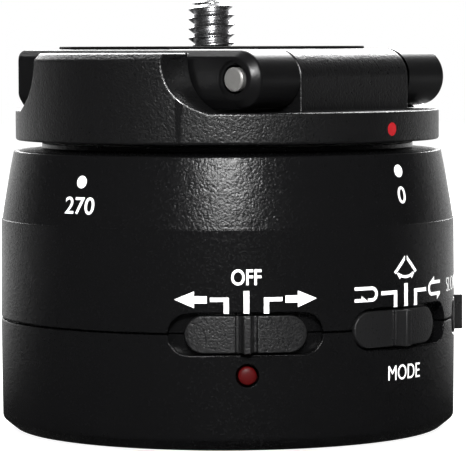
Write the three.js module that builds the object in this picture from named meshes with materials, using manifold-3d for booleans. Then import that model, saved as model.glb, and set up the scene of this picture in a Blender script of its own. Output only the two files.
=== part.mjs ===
// Panoramic tripod head: a motor-driven turntable that carries a tilting camera platform.
// Millimetres, +Z up. The turning axis is Z and the slide switches face -Y.
// Heights are measured from the base face of the body, which stands on its rubber ring.
// Angles round the body start at -Y and grow toward +X.

import * as THREE from "three";
import { mergeVertices } from "three/addons/utils/BufferGeometryUtils.js";
import Module from "manifold-3d";

const wasm = await Module();
wasm.setup();

const degree = Math.PI / 180;
const largeSteps = 48;
const mediumSteps = 32;
const smallSteps = 16;
const clearance = 0.3;
const overrun = 1;

// Body shells
const bodyRadius = 30;
const baseFaceInset = 2;
const baseEdgeInset = 0.12;
const baseEdgeHeight = 1.5;
const seamHeight = 14.65;
const seamBevel = 0.2;
const sideHeight = 12.95;
const shoulderInset = 0.08;
const shoulderStep = 0.12;
const taperHeight = 9;
const rimInset = 1.8;
const rimRound = 0.5;
const taperBulge = 0.07;
const deckRise = 0.3;
const neckInset = 5.5;
const neckWidth = 4.1;
const neckRise = 1;
const wall = 1.8;
const floorThickness = 2.2;
const deckThickness = 2;
const tongueThickness = 0.7;
const tongueHeight = 1;
const beltHalfHeight = 3.15;

// Rubber ring under the base
const padProud = 0.3;
const padRecess = 0.9;
const padInnerRadius = 9.4;
const padOuterInset = 9.5;

// Threaded bush for the tripod's screw
const threadMajorRadius = 3.06;
const threadMinorRadius = 2.4;
const threadPitch = 1.27;
const threadStart = 0.3;
const bushBoreRadius = 2.5;
const bushRadius = 4.75;
const bushFlangeRadius = 6.2;
const bushFlangeThickness = 1.2;
const bushRecess = 0.2;
const bushBossRadius = 6.6;
const bushBossHeight = 8.3;
const bushThreadDepth = 7.8;
const bushMouthBevel = 0.5;

// Base screws and the bosses that they pull together
const bossAngles = [27.15, 153, -150, -30];
const bossInset = 6.5;
const bossRadius = 2.8;
const bossFootRadius = 3.2;
const boltRadius = 1.15;
const boltHeadRadius = 2.1;
const boltHeadHeight = 1.4;
const boltDriveRadius = 1;
const boltDriveDepth = 0.8;
const boltSink = 1.2;
const boltShort = 10.6;

// Circuit board
const boardInset = 5;
const boardHeight = 10.9;
const boardThickness = 1.6;
const chipSide = 7;
const chipThickness = 1.2;
const chipX = 3;
const chipY = 9;

// Slide switches, from the front round to the right
const switches = [
  { name: "direction", angle: 4.3, restShare: 0 },
  { name: "mode", angle: 50, restShare: -1 },
  { name: "speed", angle: 95.7, restShare: 0 },
];
const pocketHalfLength = 9.67;
const pocketHalfHeight = 2.6;
const pocketDepth = 1.5;
const pocketFloorThickness = 1.6;
const sliderHalfLength = 7.6;
const sliderBevel = 0.2;
const sliderRibHalfWidth = 0.9;
const sliderRibProud = 1.5;
const sliderRibRound = 0.35;
const sliderGrooveWidth = 0.5;
const sliderGrooveDepth = 0.5;
const stemHalfWidth = 1.3;
const stemHalfHeight = 1.2;
const leverHalfWidth = 0.6;
const leverGrip = 0.9;
const leverInset = 4.2;
const leverLength = 4.2;
const switchCaseInset = 5.8;
const switchCaseDepth = 4.4;
const switchCaseHalfWidth = 4.3;

// Indicator light
const lensAngle = 4.5;
const lensHeight = 9.53;
const lensRadius = 1.15;
const lensProud = 0.15;
const lensDomeHeight = 0.4;
const lensFlangeRadius = 1.6;
const lensFlangeThickness = 1;
const lensFlangeInset = 3.05;
const ledSide = 2;
const ledDrop = 2.6;
const ledInset = 5.8;

// Charging socket
const socketAngle = 180;
const socketHalfWidth = 4.5;
const socketDrop = 3.2;
const socketSkin = 0.35;
const socketLength = 7;
const socketMouthInset = 1.7;
const socketTongueHalfWidth = 3.1;
const socketTongueThickness = 0.7;
const socketTongueShort = 1;

// Battery
const batteryInnerX = 7.2;
const batteryOuterInset = 7.3;
const batteryLength = 26;
const batteryThickness = 6;
const batteryEdge = 1.2;
const tapeThickness = 0.5;
const tapeInset = 2;

// Gear motor
const gearInset = 15.6;
const gearTeeth = 48;
const pinionTeeth = 12;
const toothBacklash = 0.24;
const gearDrop = 4.6;
const gearThickness = 3.2;
const gearHubRadius = 7.2;
const motorHalfDepth = 5;
const motorHalfWidth = 6;
const motorRound = 1.6;
const motorBossHeight = 0.8;
const motorBossRadius = 2.2;
const gearboxHeight = 9;
const shaftShare = 0.4167;
const shaftTip = 0.1;
const pinionRise = 1;
const pinionThickness = 4;
const bracketWall = 1.6;
const bracketHeight = 8.5;
const bracketEarLength = 5.6;
const bracketEarHalfWidth = 2.8;
const bracketEarThickness = 2;
const bracketBoltReach = 10.6;
const bracketBoltHeadHeight = 1.3;
const bracketBoltDepth = 7;
const bracketPostRadius = 2.4;

// Spindle and its ball bearing
const spindleRadius = 4.7;
const spindleShoulderRadius = 6.2;
const spindleFlangeRadius = 10;
const spindleFlangeThickness = 1.6;
const spindleScrews = 3;
const spindleScrewCircle = 8.1;
const spindleScrewRadius = 0.8;
const spindleScrewHeadRadius = 1.5;
const spindleScrewHeadHeight = 1;
const spindleScrewReach = 1.4;
const bearingOuterRadius = 9.5;
const bearingThickness = 5;
const ballShare = 0.4667;
const balls = 10;
const cageHalfWidth = 0.4;
const cageHalfHeight = 0.35;
const collarThickness = 1.8;
const collarLip = 1;
const collarDrop = 0.3;
const gearWasherRadius = 6.5;
const gearWasherThickness = 0.6;
const gearBoltRadius = 1.5;
const gearBoltHeadRadius = 2.75;
const gearBoltHeadHeight = 1.6;
const gearBoltDriveRadius = 1.3;
const gearBoltDriveDepth = 0.9;
const gearBoltReach = 6;

// Glide ring
const glideInset = 8.5;
const glideWidth = 1.6;
const glideThickness = 0.6;

// Turntable
const topAngle = 50;
const discRadius = 27.95;
const discGap = 0.3;
const discThickness = 4.1;
const discLowerBevel = 0.35;
const discUpperBevel = 0.3;
const reliefInnerRadius = 12.6;
const reliefMargin = 1.9;
const reliefDepth = 2.1;

// Hinge between turntable and platform
const hingeReach = 17.8;
const knuckleRadius = 3.7;
const middleHalfWidth = 11.2;
const platformHalfWidth = 20;
const pinRadius = 1.5;
const pinProud = 0.2;
const pinBevel = 0.3;
const pinRecessRadius = 2;
const pinRecessDepth = 0.35;
const knuckleBevel = 1;

// Shrouds beside the platform
const shroudGap = 0.4;
const shroudDrop = 0.45;
const shroudBevel = 0.9;
const shroudEndWidth = 10.7;
const shroudFootWidth = 16.1;
const shroudFlareShares = [
  [0, 1],
  [0.1, 0.7],
  [0.24, 0.4],
  [0.4, 0.24],
  [0.58, 0.14],
  [0.78, 0.06],
  [1, 0],
];

// Platform
const platformRadius = 27.55;
const platformThickness = 7.5;
const platformRound = 1.4;
const platformFloat = 0.3;
const platformFootBevel = 1.4;
const platformFootInset = 0.8;
const platformSkirt = 2.2;
const ribThickness = 1.2;
const ribHeight = 2.8;
const ribRingRadius = 8.2;

// Camera screw and the pad round it
const screwReach = -2.65;
const screwProud = 6.15;
const screwTipHeight = 0.9;
const screwTipRadius = 1.9;
const screwShankRadius = 2.3;
const screwHeadRadius = 6.5;
const screwHeadThickness = 2.9;
const screwHeadBevel = 0.3;
const screwSlotHalfWidth = 0.7;
const screwSlotDepth = 1.4;
const threadRunout = 0.9;
const topPadRadius = 20.2;
const topPadInset = 1.6;
const topPadThickness = 0.45;

// What follows from the sizes above
const baseEdgeRadius = bodyRadius - baseEdgeInset;
const baseFaceRadius = baseEdgeRadius - baseFaceInset;
const shoulderRadius = bodyRadius - shoulderInset;
const shoulderHeight = seamHeight + sideHeight;
const rimRadius = bodyRadius - rimInset;
const rimHeight = shoulderHeight + taperHeight;
const neckRadius = bodyRadius - neckInset;
const neckInnerRadius = neckRadius - neckWidth;
const neckHeight = rimHeight + neckRise;
const padOuterRadius = bodyRadius - padOuterInset;
const bossCircleRadius = bodyRadius - bossInset;
const boardRadius = bodyRadius - boardInset;
const boardTop = boardHeight + boardThickness;
const deckUnderside = rimHeight - deckThickness;
const boltEndHeight = deckUnderside - boltShort;
const leverOuterRadius = bodyRadius - leverInset;
const leverInnerRadius = leverOuterRadius - leverLength;
const switchCaseOuterRadius = bodyRadius - switchCaseInset;
const switchCaseInnerRadius = switchCaseOuterRadius - switchCaseDepth;
const lensFlangeOuterRadius = bodyRadius - lensFlangeInset;
const ledRadius = bodyRadius - ledInset;
const socketMouthRadius = bodyRadius - socketMouthInset;
const batteryWidth = bodyRadius - batteryOuterInset - batteryInnerX;
const pocketFloorRadius = bodyRadius - pocketDepth;
const beltRadius = pocketFloorRadius - pocketFloorThickness;
const sliderHalfHeight = pocketHalfHeight - clearance;
const sliderInnerRadius = pocketFloorRadius + clearance;
const switchTravel = Math.asin((pocketHalfLength - clearance) / bodyRadius)
  - Math.asin(sliderHalfLength / bodyRadius);
const leverHole = leverHalfWidth + clearance;
const leverSweep = leverHole + switchCaseOuterRadius * Math.sin(switchTravel);
const stemSlotHalfWidth = stemHalfWidth + clearance + pocketFloorRadius * Math.sin(switchTravel);
const boltHole = boltRadius + clearance;
const boltSeat = boltSink + boltHeadHeight;
const spindleBore = spindleRadius + clearance;
const bearingTop = deckUnderside;
const bearingBase = bearingTop - bearingThickness;
const bearingBore = spindleBore;
const ballCircle = (bearingBore + bearingOuterRadius) / 2;
const ballRadius = (bearingOuterRadius - bearingBore) / 2 * ballShare;
const raceThickness = (bearingOuterRadius - bearingBore) / 2 - ballRadius;
const deckHoleRadius = bearingOuterRadius - collarLip;
const glideInnerRadius = bodyRadius - glideInset;
const glideOuterRadius = glideInnerRadius + glideWidth;
const reliefOuterRadius = glideInnerRadius - reliefMargin;
const discHeight = neckHeight + discGap;
const discTop = discHeight + discThickness;
const spindleFlangeTop = discHeight + spindleFlangeThickness + clearance;
const spindleFlangeBase = spindleFlangeTop - spindleFlangeThickness;
const gearHeight = bearingBase - gearDrop;
const gearPitchRadius = bodyRadius - gearInset;
const toothModule = 2 * gearPitchRadius / gearTeeth;
const pinionPitchRadius = toothModule * pinionTeeth / 2;
const shaftRadius = pinionPitchRadius * shaftShare;
const motorReach = gearPitchRadius + pinionPitchRadius;
const motorBase = floorThickness + motorBossHeight;
const gearboxTop = gearHeight - pinionRise;
const gearboxBase = gearboxTop - gearboxHeight;
const shaftProud = pinionRise + pinionThickness + shaftTip;
const lensTipRadius = bodyRadius + lensProud;
const shroudFace = platformHalfWidth + shroudGap;
const notchHalfWidth = middleHalfWidth + clearance;
const notchRadius = knuckleRadius + clearance + seamBevel;
const platformFoot = discTop + platformFloat;
const platformTop = platformFoot + platformThickness;
const hingeHeight = platformTop - knuckleRadius;
const shroudTop = platformTop - shroudDrop;
const plateUnderside = hingeHeight;
const screwHeadTop = plateUnderside - clearance;
const topPadHalfWidth = platformHalfWidth - topPadInset;
const padTop = platformTop + topPadThickness;
const screwTop = padTop + screwProud;

// Geometry helpers

function signedVolume(positions, triangles) {
  const [a, b, c] = [new THREE.Vector3(), new THREE.Vector3(), new THREE.Vector3()];
  let six = 0;
  for (let i = 0; i < triangles.length; i += 3) {
    a.fromArray(positions, 3 * triangles[i]);
    b.fromArray(positions, 3 * triangles[i + 1]);
    c.fromArray(positions, 3 * triangles[i + 2]);
    six += a.dot(b.cross(c));
  }
  return six;
}

// A closed three.js geometry as a solid, its faces turned outward.
function solid(geometry) {
  const bare = geometry.clone();
  bare.deleteAttribute("normal");
  bare.deleteAttribute("uv");
  const merged = mergeVertices(bare);
  const positions = merged.attributes.position.array;
  const triangles = [];
  for (let i = 0; i < merged.index.count; i += 3) {
    const [a, b, c] = [0, 1, 2].map((step) => merged.index.getX(i + step));
    if (a !== b && b !== c && c !== a) triangles.push(a, b, c);
  }
  if (signedVolume(positions, triangles) < 0) triangles.reverse();
  return new wasm.Manifold(new wasm.Mesh({
    numProp: 3,
    vertProperties: new Float32Array(positions),
    triVerts: new Uint32Array(triangles),
  }));
}

function cut(body, ...tools) {
  return tools.reduce((rest, tool) => rest.subtract(tool), body);
}

function join(...bodies) {
  return bodies.reduce((whole, body) => whole.add(body));
}

function turned(profile, steps) {
  const points = profile.map(([radius, height]) => new THREE.Vector2(radius, height));
  return solid(new THREE.LatheGeometry(points, steps).rotateX(90 * degree));
}

function ringProfile(inner, outer, low, high) {
  return [[inner, low], [outer, low], [outer, high], [inner, high], [inner, low]];
}

function ring(inner, outer, low, high, steps) {
  return turned(ringProfile(inner, outer, low, high), steps);
}

function disc(radius, low, high, steps) {
  return turned([[0, low], [radius, low], [radius, high], [0, high]], steps);
}

function box(x, y, z) {
  const sides = [x, y, z].map(([low, high]) => high - low);
  const middle = [x, y, z].map(([low, high]) => (low + high) / 2);
  return solid(new THREE.BoxGeometry(...sides).translate(...middle));
}

// An outline drawn in two axes and drawn out along the third.
function prism(outline, along, low, high) {
  const shape = new THREE.Shape(outline.map(([a, b]) => new THREE.Vector2(a, b)));
  const geometry = new THREE.ExtrudeGeometry(shape, { depth: high - low, bevelEnabled: false });
  geometry.translate(0, 0, low);
  const turn = {
    x: new THREE.Matrix4().set(0, 0, 1, 0, 1, 0, 0, 0, 0, 1, 0, 0, 0, 0, 0, 1),
    y: new THREE.Matrix4().set(1, 0, 0, 0, 0, 0, 1, 0, 0, 1, 0, 0, 0, 0, 0, 1),
    z: new THREE.Matrix4(),
  };
  return solid(geometry.applyMatrix4(turn[along]));
}

function arcPoints(centreA, centreB, radius, from, to, steps) {
  return Array.from({ length: steps + 1 }, (_, i) => {
    const angle = from + (to - from) * i / steps;
    return [centreA + radius * Math.cos(angle), centreB + radius * Math.sin(angle)];
  });
}

function circle(centreA, centreB, radius, steps) {
  return arcPoints(centreA, centreB, radius, 0, 360 * degree, steps).slice(1);
}

function stadium(halfLength, halfHeight, middleHeight, steps) {
  const reach = halfLength - halfHeight;
  return [
    ...arcPoints(reach, middleHeight, halfHeight, -90 * degree, 90 * degree, steps),
    ...arcPoints(-reach, middleHeight, halfHeight, 90 * degree, 270 * degree, steps),
  ];
}

function roundedRectangle(halfA, halfB, radius, steps) {
  const corners = [[1, 1], [-1, 1], [-1, -1], [1, -1]];
  return corners.flatMap(([a, b], i) => arcPoints(
    a * (halfA - radius), b * (halfB - radius), radius, 90 * i * degree, 90 * (i + 1) * degree, steps,
  ));
}

function moved(body, x, y, z) {
  return body.translate(x, y, z);
}

function spun(body, angle) {
  return body.rotate(0, 0, angle);
}

// Turns what is built facing +X to an angle round the body.
function facing(angle) {
  return angle - 90;
}

function aroundBody(angle, radius) {
  return [radius * Math.sin(angle * degree), -radius * Math.cos(angle * degree)];
}

// A screw with its head at the bottom, seated at height zero, and a six-sided drive.
function capScrew(headRadius, headHeight, shankRadius, length, driveRadius, driveDepth) {
  const body = turned([
    [0, -headHeight], [headRadius, -headHeight], [headRadius, 0],
    [shankRadius, 0], [shankRadius, length], [0, length],
  ], smallSteps);
  const drive = disc(driveRadius, -headHeight - overrun, -headHeight + driveDepth, 6);
  return cut(body, drive);
}

// Body shells

function switchCutters() {
  return switches.map(({ angle }) => {
    const pocket = cut(
      prism(stadium(pocketHalfLength, pocketHalfHeight, seamHeight, 8), "x",
        beltRadius, bodyRadius + overrun),
      disc(pocketFloorRadius, 0, rimHeight, largeSteps),
    );
    const slot = box(
      [beltRadius - overrun, bodyRadius],
      [-stemSlotHalfWidth, stemSlotHalfWidth],
      [seamHeight - stemHalfHeight - clearance, seamHeight + stemHalfHeight + clearance],
    );
    return spun(join(pocket, slot), facing(angle));
  });
}

function lowerShell() {
  const belt = seamHeight - beltHalfHeight;
  const bore = bushRadius + clearance;
  let shell = turned([
    [bore, 0],
    [padInnerRadius - clearance, 0],
    [padInnerRadius - clearance, padRecess],
    [padOuterRadius + clearance, padRecess],
    [padOuterRadius + clearance, 0],
    [baseFaceRadius, 0],
    [baseEdgeRadius, baseEdgeHeight],
    [bodyRadius, seamHeight - seamBevel],
    [bodyRadius - seamBevel, seamHeight],
    [beltRadius + tongueThickness + clearance, seamHeight],
    [beltRadius + tongueThickness + clearance, seamHeight + tongueHeight],
    [beltRadius + clearance, seamHeight + tongueHeight],
    [beltRadius, seamHeight],
    [beltRadius, belt],
    [bodyRadius - wall, belt - wall],
    [baseEdgeRadius - wall, floorThickness],
    [bushBossRadius, floorThickness],
    [bushBossRadius, bushBossHeight],
    [bore, bushBossHeight],
    [bore, 0],
  ], largeSteps);
  for (const angle of bossAngles) {
    const [x, y] = aroundBody(angle, bossCircleRadius);
    const boss = join(
      disc(bossFootRadius, padRecess, boltSeat + wall, smallSteps),
      disc(bossRadius, padRecess, boardHeight, smallSteps),
    );
    const hole = join(
      disc(boltHeadRadius + clearance, -overrun, boltSeat, smallSteps),
      disc(boltHole, 0, boardHeight + overrun, smallSteps),
    );
    shell = cut(join(shell, moved(boss, x, y, 0)), moved(hole, x, y, 0));
  }
  for (const side of [-1, 1]) {
    const post = disc(bracketPostRadius, padRecess, boardHeight, smallSteps);
    const hole = disc(boltHole, boardHeight - bracketBoltDepth, boardHeight + overrun, smallSteps);
    const place = [-motorReach, side * bracketBoltReach, 0];
    shell = cut(join(shell, moved(post, ...place)), moved(hole, ...place));
  }
  const lensHole = spun(prism(
    circle(0, lensHeight, lensRadius + clearance, smallSteps), "x",
    beltRadius, bodyRadius + overrun,
  ), facing(lensAngle));
  const socketHole = spun(box(
    [beltRadius, bodyRadius + overrun],
    [-socketHalfWidth - clearance, socketHalfWidth + clearance],
    [boardHeight - socketDrop - clearance, boardHeight + clearance],
  ), facing(socketAngle));
  return cut(shell, ...switchCutters(), lensHole, socketHole);
}

function upperShell() {
  const taperSteps = 6;
  const taper = Array.from({ length: taperSteps + 1 }, (_, i) => {
    const share = i / taperSteps;
    const start = shoulderRadius - shoulderStep;
    const bulge = 4 * taperBulge * share * (1 - share);
    return [
      start + (rimRadius - start) * share + bulge,
      shoulderHeight + (rimHeight - rimRound - shoulderHeight) * share,
    ];
  });
  const belt = seamHeight + beltHalfHeight;
  const rabbet = beltRadius + tongueThickness + 2 * clearance;
  const collarBase = bearingBase - collarDrop;
  const collarBore = bearingOuterRadius + clearance;
  let shell = turned([
    [rabbet, seamHeight],
    [bodyRadius - seamBevel, seamHeight],
    [bodyRadius, seamHeight + seamBevel],
    [shoulderRadius, shoulderHeight],
    ...taper,
    [rimRadius - rimRound, rimHeight],
    [neckRadius, rimHeight + deckRise],
    [neckRadius, neckHeight],
    [glideOuterRadius + clearance, neckHeight],
    [glideOuterRadius + clearance, neckHeight - glideThickness],
    [glideInnerRadius - clearance, neckHeight - glideThickness],
    [glideInnerRadius - clearance, neckHeight],
    [neckInnerRadius, neckHeight],
    [neckInnerRadius, rimHeight],
    [deckHoleRadius, rimHeight],
    [deckHoleRadius, deckUnderside],
    [collarBore, deckUnderside],
    [collarBore, collarBase],
    [collarBore + collarThickness, collarBase],
    [collarBore + collarThickness, deckUnderside],
    [rimRadius - wall, deckUnderside],
    [shoulderRadius - wall, shoulderHeight],
    [bodyRadius - wall, belt + wall],
    [beltRadius, belt],
    [beltRadius, seamHeight + tongueHeight + clearance],
    [rabbet, seamHeight + tongueHeight + clearance],
    [rabbet, seamHeight],
  ], largeSteps);
  for (const angle of bossAngles) {
    const [x, y] = aroundBody(angle, bossCircleRadius);
    const boss = disc(bossRadius, boardTop, deckUnderside + seamBevel, smallSteps);
    const hole = disc(boltHole, boardTop - overrun, boltEndHeight + clearance, smallSteps);
    shell = cut(join(shell, moved(boss, x, y, 0)), moved(hole, x, y, 0));
  }
  return cut(shell, ...switchCutters());
}

function basePad() {
  return ring(padInnerRadius, padOuterRadius, -padProud, padRecess, mediumSteps);
}

function tripodBush() {
  return turned([
    [0, bushThreadDepth],
    [bushBoreRadius, bushThreadDepth],
    [bushBoreRadius, bushRecess + bushMouthBevel],
    [bushBoreRadius + bushMouthBevel, bushRecess],
    [bushRadius, bushRecess],
    [bushRadius, bushBossHeight],
    [bushFlangeRadius, bushBossHeight],
    [bushFlangeRadius, bushBossHeight + bushFlangeThickness],
    [0, bushBossHeight + bushFlangeThickness],
  ], mediumSteps);
}

function baseScrew() {
  return capScrew(boltHeadRadius, boltHeadHeight, boltRadius, boltEndHeight - boltSeat,
    boltDriveRadius, boltDriveDepth);
}

// Electronics

function circuitBoard() {
  const holes = bossAngles.map((angle) => aroundBody(angle, bossCircleRadius));
  for (const side of [-1, 1]) holes.push([-motorReach, side * bracketBoltReach]);
  const drills = holes.map(([x, y]) => moved(
    disc(boltHole, boardHeight - overrun, boardTop + overrun, smallSteps), x, y, 0,
  ));
  const motorNotch = box(
    [-boardRadius - overrun, motorHalfDepth + 2 * clearance - motorReach],
    [-motorHalfWidth - 2 * clearance, motorHalfWidth + 2 * clearance],
    [boardHeight - overrun, boardTop + overrun],
  );
  return cut(disc(boardRadius, boardHeight, boardTop, largeSteps), ...drills, motorNotch);
}

function controlChip() {
  const half = chipSide / 2;
  return box([chipX - half, chipX + half], [chipY - half, chipY + half],
    [boardTop, boardTop + chipThickness]);
}

function switchCase() {
  const rise = seamHeight - boardTop;
  const body = box([switchCaseInnerRadius, switchCaseOuterRadius],
    [-switchCaseHalfWidth, switchCaseHalfWidth], [boardTop, seamHeight + rise]);
  const slot = box([leverInnerRadius - clearance, switchCaseOuterRadius + overrun],
    [-leverSweep, leverSweep], [seamHeight - leverHole, seamHeight + leverHole]);
  return cut(body, slot);
}

function switchLever() {
  return box([leverInnerRadius, leverOuterRadius], [-leverHalfWidth, leverHalfWidth],
    [seamHeight - leverHalfWidth, seamHeight + leverHalfWidth]);
}

function slideButton() {
  const grooveMiddle = sliderRibHalfWidth + sliderGrooveWidth / 2;
  const stadiumBar = prism(stadium(sliderHalfLength, sliderHalfHeight, seamHeight, 8), "x",
    beltRadius, bodyRadius + overrun);
  const curved = turned([
    [sliderInnerRadius, seamHeight - pocketHalfHeight],
    [bodyRadius - sliderBevel, seamHeight - pocketHalfHeight],
    [bodyRadius - sliderBevel, seamHeight - sliderHalfHeight],
    [bodyRadius, seamHeight - sliderHalfHeight + sliderBevel],
    [bodyRadius, seamHeight + sliderHalfHeight - sliderBevel],
    [bodyRadius - sliderBevel, seamHeight + sliderHalfHeight],
    [bodyRadius - sliderBevel, seamHeight + pocketHalfHeight],
    [sliderInnerRadius, seamHeight + pocketHalfHeight],
    [sliderInnerRadius, seamHeight - pocketHalfHeight],
  ], largeSteps);
  const grooves = [-1, 1].map((side) => moved(box(
    [bodyRadius - sliderGrooveDepth, bodyRadius + overrun],
    [-sliderGrooveWidth / 2, sliderGrooveWidth / 2],
    [seamHeight - pocketHalfHeight, seamHeight + pocketHalfHeight],
  ), 0, side * grooveMiddle, 0));
  const ribTop = bodyRadius + sliderRibProud;
  const rib = prism([
    [bodyRadius - sliderGrooveDepth, -sliderRibHalfWidth],
    [ribTop - sliderRibRound, -sliderRibHalfWidth],
    [ribTop, -sliderRibHalfWidth + sliderRibRound],
    [ribTop, sliderRibHalfWidth - sliderRibRound],
    [ribTop - sliderRibRound, sliderRibHalfWidth],
    [bodyRadius - sliderGrooveDepth, sliderRibHalfWidth],
  ], "z", seamHeight - sliderHalfHeight, seamHeight + sliderHalfHeight);
  const stemEnd = leverOuterRadius - leverGrip;
  const stem = box([stemEnd, sliderInnerRadius + sliderGrooveDepth],
    [-stemHalfWidth, stemHalfWidth], [seamHeight - stemHalfHeight, seamHeight + stemHalfHeight]);
  const leverPocket = box([stemEnd - overrun, leverOuterRadius + clearance],
    [-leverHole, leverHole], [seamHeight - leverHole, seamHeight + leverHole]);
  const face = cut(stadiumBar.intersect(curved), ...grooves);
  return cut(join(face, rib, stem), leverPocket);
}

function lens() {
  const domeSteps = 4;
  const dome = Array.from({ length: domeSteps + 1 }, (_, i) => {
    const angle = 90 * degree * i / domeSteps;
    return [
      lensRadius * Math.cos(angle),
      lensTipRadius - lensDomeHeight * (1 - Math.sin(angle)),
    ];
  });
  dome[domeSteps][0] = 0;
  return turned([
    [0, lensFlangeOuterRadius - lensFlangeThickness],
    [lensFlangeRadius, lensFlangeOuterRadius - lensFlangeThickness],
    [lensFlangeRadius, lensFlangeOuterRadius],
    [lensRadius, lensFlangeOuterRadius],
    ...dome,
  ], smallSteps).rotate(0, 90, 0).translate(0, 0, lensHeight);
}

function led() {
  return box([ledRadius - ledSide / 2, ledRadius + ledSide / 2], [-ledSide / 2, ledSide / 2],
    [boardHeight - ledDrop, boardHeight]);
}

function chargingSocket() {
  const back = socketMouthRadius - socketLength;
  const low = boardHeight - socketDrop;
  const inside = box([back + socketSkin, socketMouthRadius + overrun],
    [-socketHalfWidth + socketSkin, socketHalfWidth - socketSkin],
    [low + socketSkin, boardHeight - socketSkin]);
  const middle = (low + boardHeight) / 2;
  const tongue = box([back, socketMouthRadius - socketTongueShort],
    [-socketTongueHalfWidth, socketTongueHalfWidth],
    [middle - socketTongueThickness / 2, middle + socketTongueThickness / 2]);
  const shell = prism(
    roundedRectangle(socketHalfWidth, socketDrop / 2, socketDrop / 3, 4)
      .map(([y, z]) => [y, z + middle]), "x", back, socketMouthRadius,
  );
  return join(cut(shell, inside), tongue);
}

function battery() {
  const low = floorThickness + tapeThickness;
  const outline = roundedRectangle(batteryWidth / 2, batteryThickness / 2, batteryEdge, 3)
    .map(([x, z]) => [x + batteryInnerX + batteryWidth / 2, z + low + batteryThickness / 2]);
  return prism(outline, "y", -batteryLength / 2, batteryLength / 2);
}

function batteryTape() {
  return box(
    [batteryInnerX + tapeInset, batteryInnerX + batteryWidth - tapeInset],
    [tapeInset - batteryLength / 2, batteryLength / 2 - tapeInset],
    [floorThickness, floorThickness + tapeThickness],
  );
}

// Gear motor

function motorOutline(grow) {
  return roundedRectangle(motorHalfDepth + grow, motorHalfWidth + grow, motorRound, 3)
    .map(([x, y]) => [x - motorReach, y]);
}

function motorCan() {
  return join(
    prism(motorOutline(0), "z", motorBase, gearboxBase),
    moved(disc(motorBossRadius, floorThickness, motorBase + overrun, smallSteps), -motorReach, 0, 0),
  );
}

function gearbox() {
  const shaftHole = disc(shaftRadius + clearance, gearboxTop - overrun, gearboxTop + overrun, smallSteps);
  return cut(
    box([-motorReach - motorHalfDepth, motorHalfDepth - motorReach],
      [-motorHalfWidth, motorHalfWidth], [gearboxBase, gearboxTop]),
    moved(shaftHole, -motorReach, 0, 0),
  );
}

function motorShaft() {
  return disc(shaftRadius, gearboxTop - overrun + clearance, gearboxTop + shaftProud, smallSteps);
}

function motorBracket() {
  const depth = motorHalfDepth + clearance + bracketWall;
  const width = motorHalfWidth + clearance + bracketWall;
  const frame = box([-motorReach - depth, depth - motorReach], [-width, width],
    [boardTop, boardTop + bracketHeight]);
  const ears = box([-motorReach - bracketEarHalfWidth, bracketEarHalfWidth - motorReach],
    [-width - bracketEarLength, width + bracketEarLength], [boardTop, boardTop + bracketEarThickness]);
  const inside = box(
    [-motorReach - motorHalfDepth - clearance, motorHalfDepth + clearance - motorReach],
    [-motorHalfWidth - clearance, motorHalfWidth + clearance],
    [boardTop - overrun, boardTop + bracketHeight + overrun],
  );
  const holes = [-1, 1].map((side) => moved(
    disc(boltHole, boardTop - overrun, boardTop + bracketHeight, smallSteps),
    -motorReach, side * bracketBoltReach, 0,
  ));
  return cut(join(frame, ears), inside, ...holes);
}

function bracketScrew() {
  const length = bracketEarThickness + boardThickness + bracketBoltDepth - clearance;
  return capScrew(boltHeadRadius, bracketBoltHeadHeight, boltRadius, length,
    boltDriveRadius, boltDriveDepth).rotate(180, 0, 0)
    .translate(0, 0, boardTop + bracketEarThickness);
}

// The outline of a spur gear, with the first tooth centred on +X. Each flank is an involute
// from the base circle, thinned on both sides of a tooth by half the backlash.
function gearOutline(teeth, steps) {
  const pressure = 20 * degree;
  const pitchRadius = toothModule * teeth / 2;
  const base = pitchRadius * Math.cos(pressure);
  const tip = pitchRadius + toothModule * 0.9;
  const root = pitchRadius - toothModule * 1.25;
  const involute = (angle) => Math.tan(angle) - angle;
  const half = (toothModule * Math.PI / 2 - toothBacklash) / (2 * pitchRadius) + involute(pressure);
  const start = Math.max(base, root);
  const flank = Array.from({ length: steps + 1 }, (_, i) => {
    const radius = start + (tip - start) * i / steps;
    return [radius, half - involute(Math.acos(Math.min(1, base / radius)))];
  });
  const tooth = [
    [root, -flank[0][1]],
    ...flank.map(([radius, angle]) => [radius, -angle]),
    ...flank.slice().reverse(),
    [root, flank[0][1]],
  ].filter(([radius], i, all) => i === 0 || i === all.length - 1 || radius > root);
  return Array.from({ length: teeth }, (_, i) => tooth.map(([radius, angle]) => {
    const at = angle + 360 * degree * i / teeth;
    return [radius * Math.cos(at), radius * Math.sin(at)];
  })).flat();
}

function pinion() {
  const low = gearboxTop + pinionRise;
  const bore = disc(shaftRadius + clearance, low - overrun, low + pinionThickness + overrun, smallSteps);
  return cut(
    spun(prism(gearOutline(pinionTeeth, 3), "z", low, low + pinionThickness), 180 / pinionTeeth), bore,
  );
}

function driveGear() {
  return cut(
    join(
      prism(gearOutline(gearTeeth, 2), "z", gearHeight, gearHeight + gearThickness),
      disc(gearHubRadius, gearHeight, bearingBase, mediumSteps),
    ),
    disc(spindleBore, gearHeight - overrun, bearingBase + overrun, mediumSteps),
  );
}

// Spindle and bearing

function spindle() {
  const end = gearHeight + clearance;
  const holeTop = end + gearBoltReach + clearance;
  const body = turned([
    [0, holeTop],
    [gearBoltRadius + clearance, holeTop],
    [gearBoltRadius + clearance, end],
    [spindleRadius, end],
    [spindleRadius, bearingTop],
    [spindleShoulderRadius, bearingTop],
    [spindleShoulderRadius, spindleFlangeBase],
    [spindleFlangeRadius, spindleFlangeBase],
    [spindleFlangeRadius, spindleFlangeTop],
    [0, spindleFlangeTop],
  ], mediumSteps);
  const drill = disc(spindleScrewRadius + clearance, spindleFlangeBase - overrun,
    spindleFlangeTop + overrun, smallSteps);
  return cut(body, ...spindleScrewPlaces().map(([x, y]) => moved(drill, x, y, 0)));
}

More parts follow.
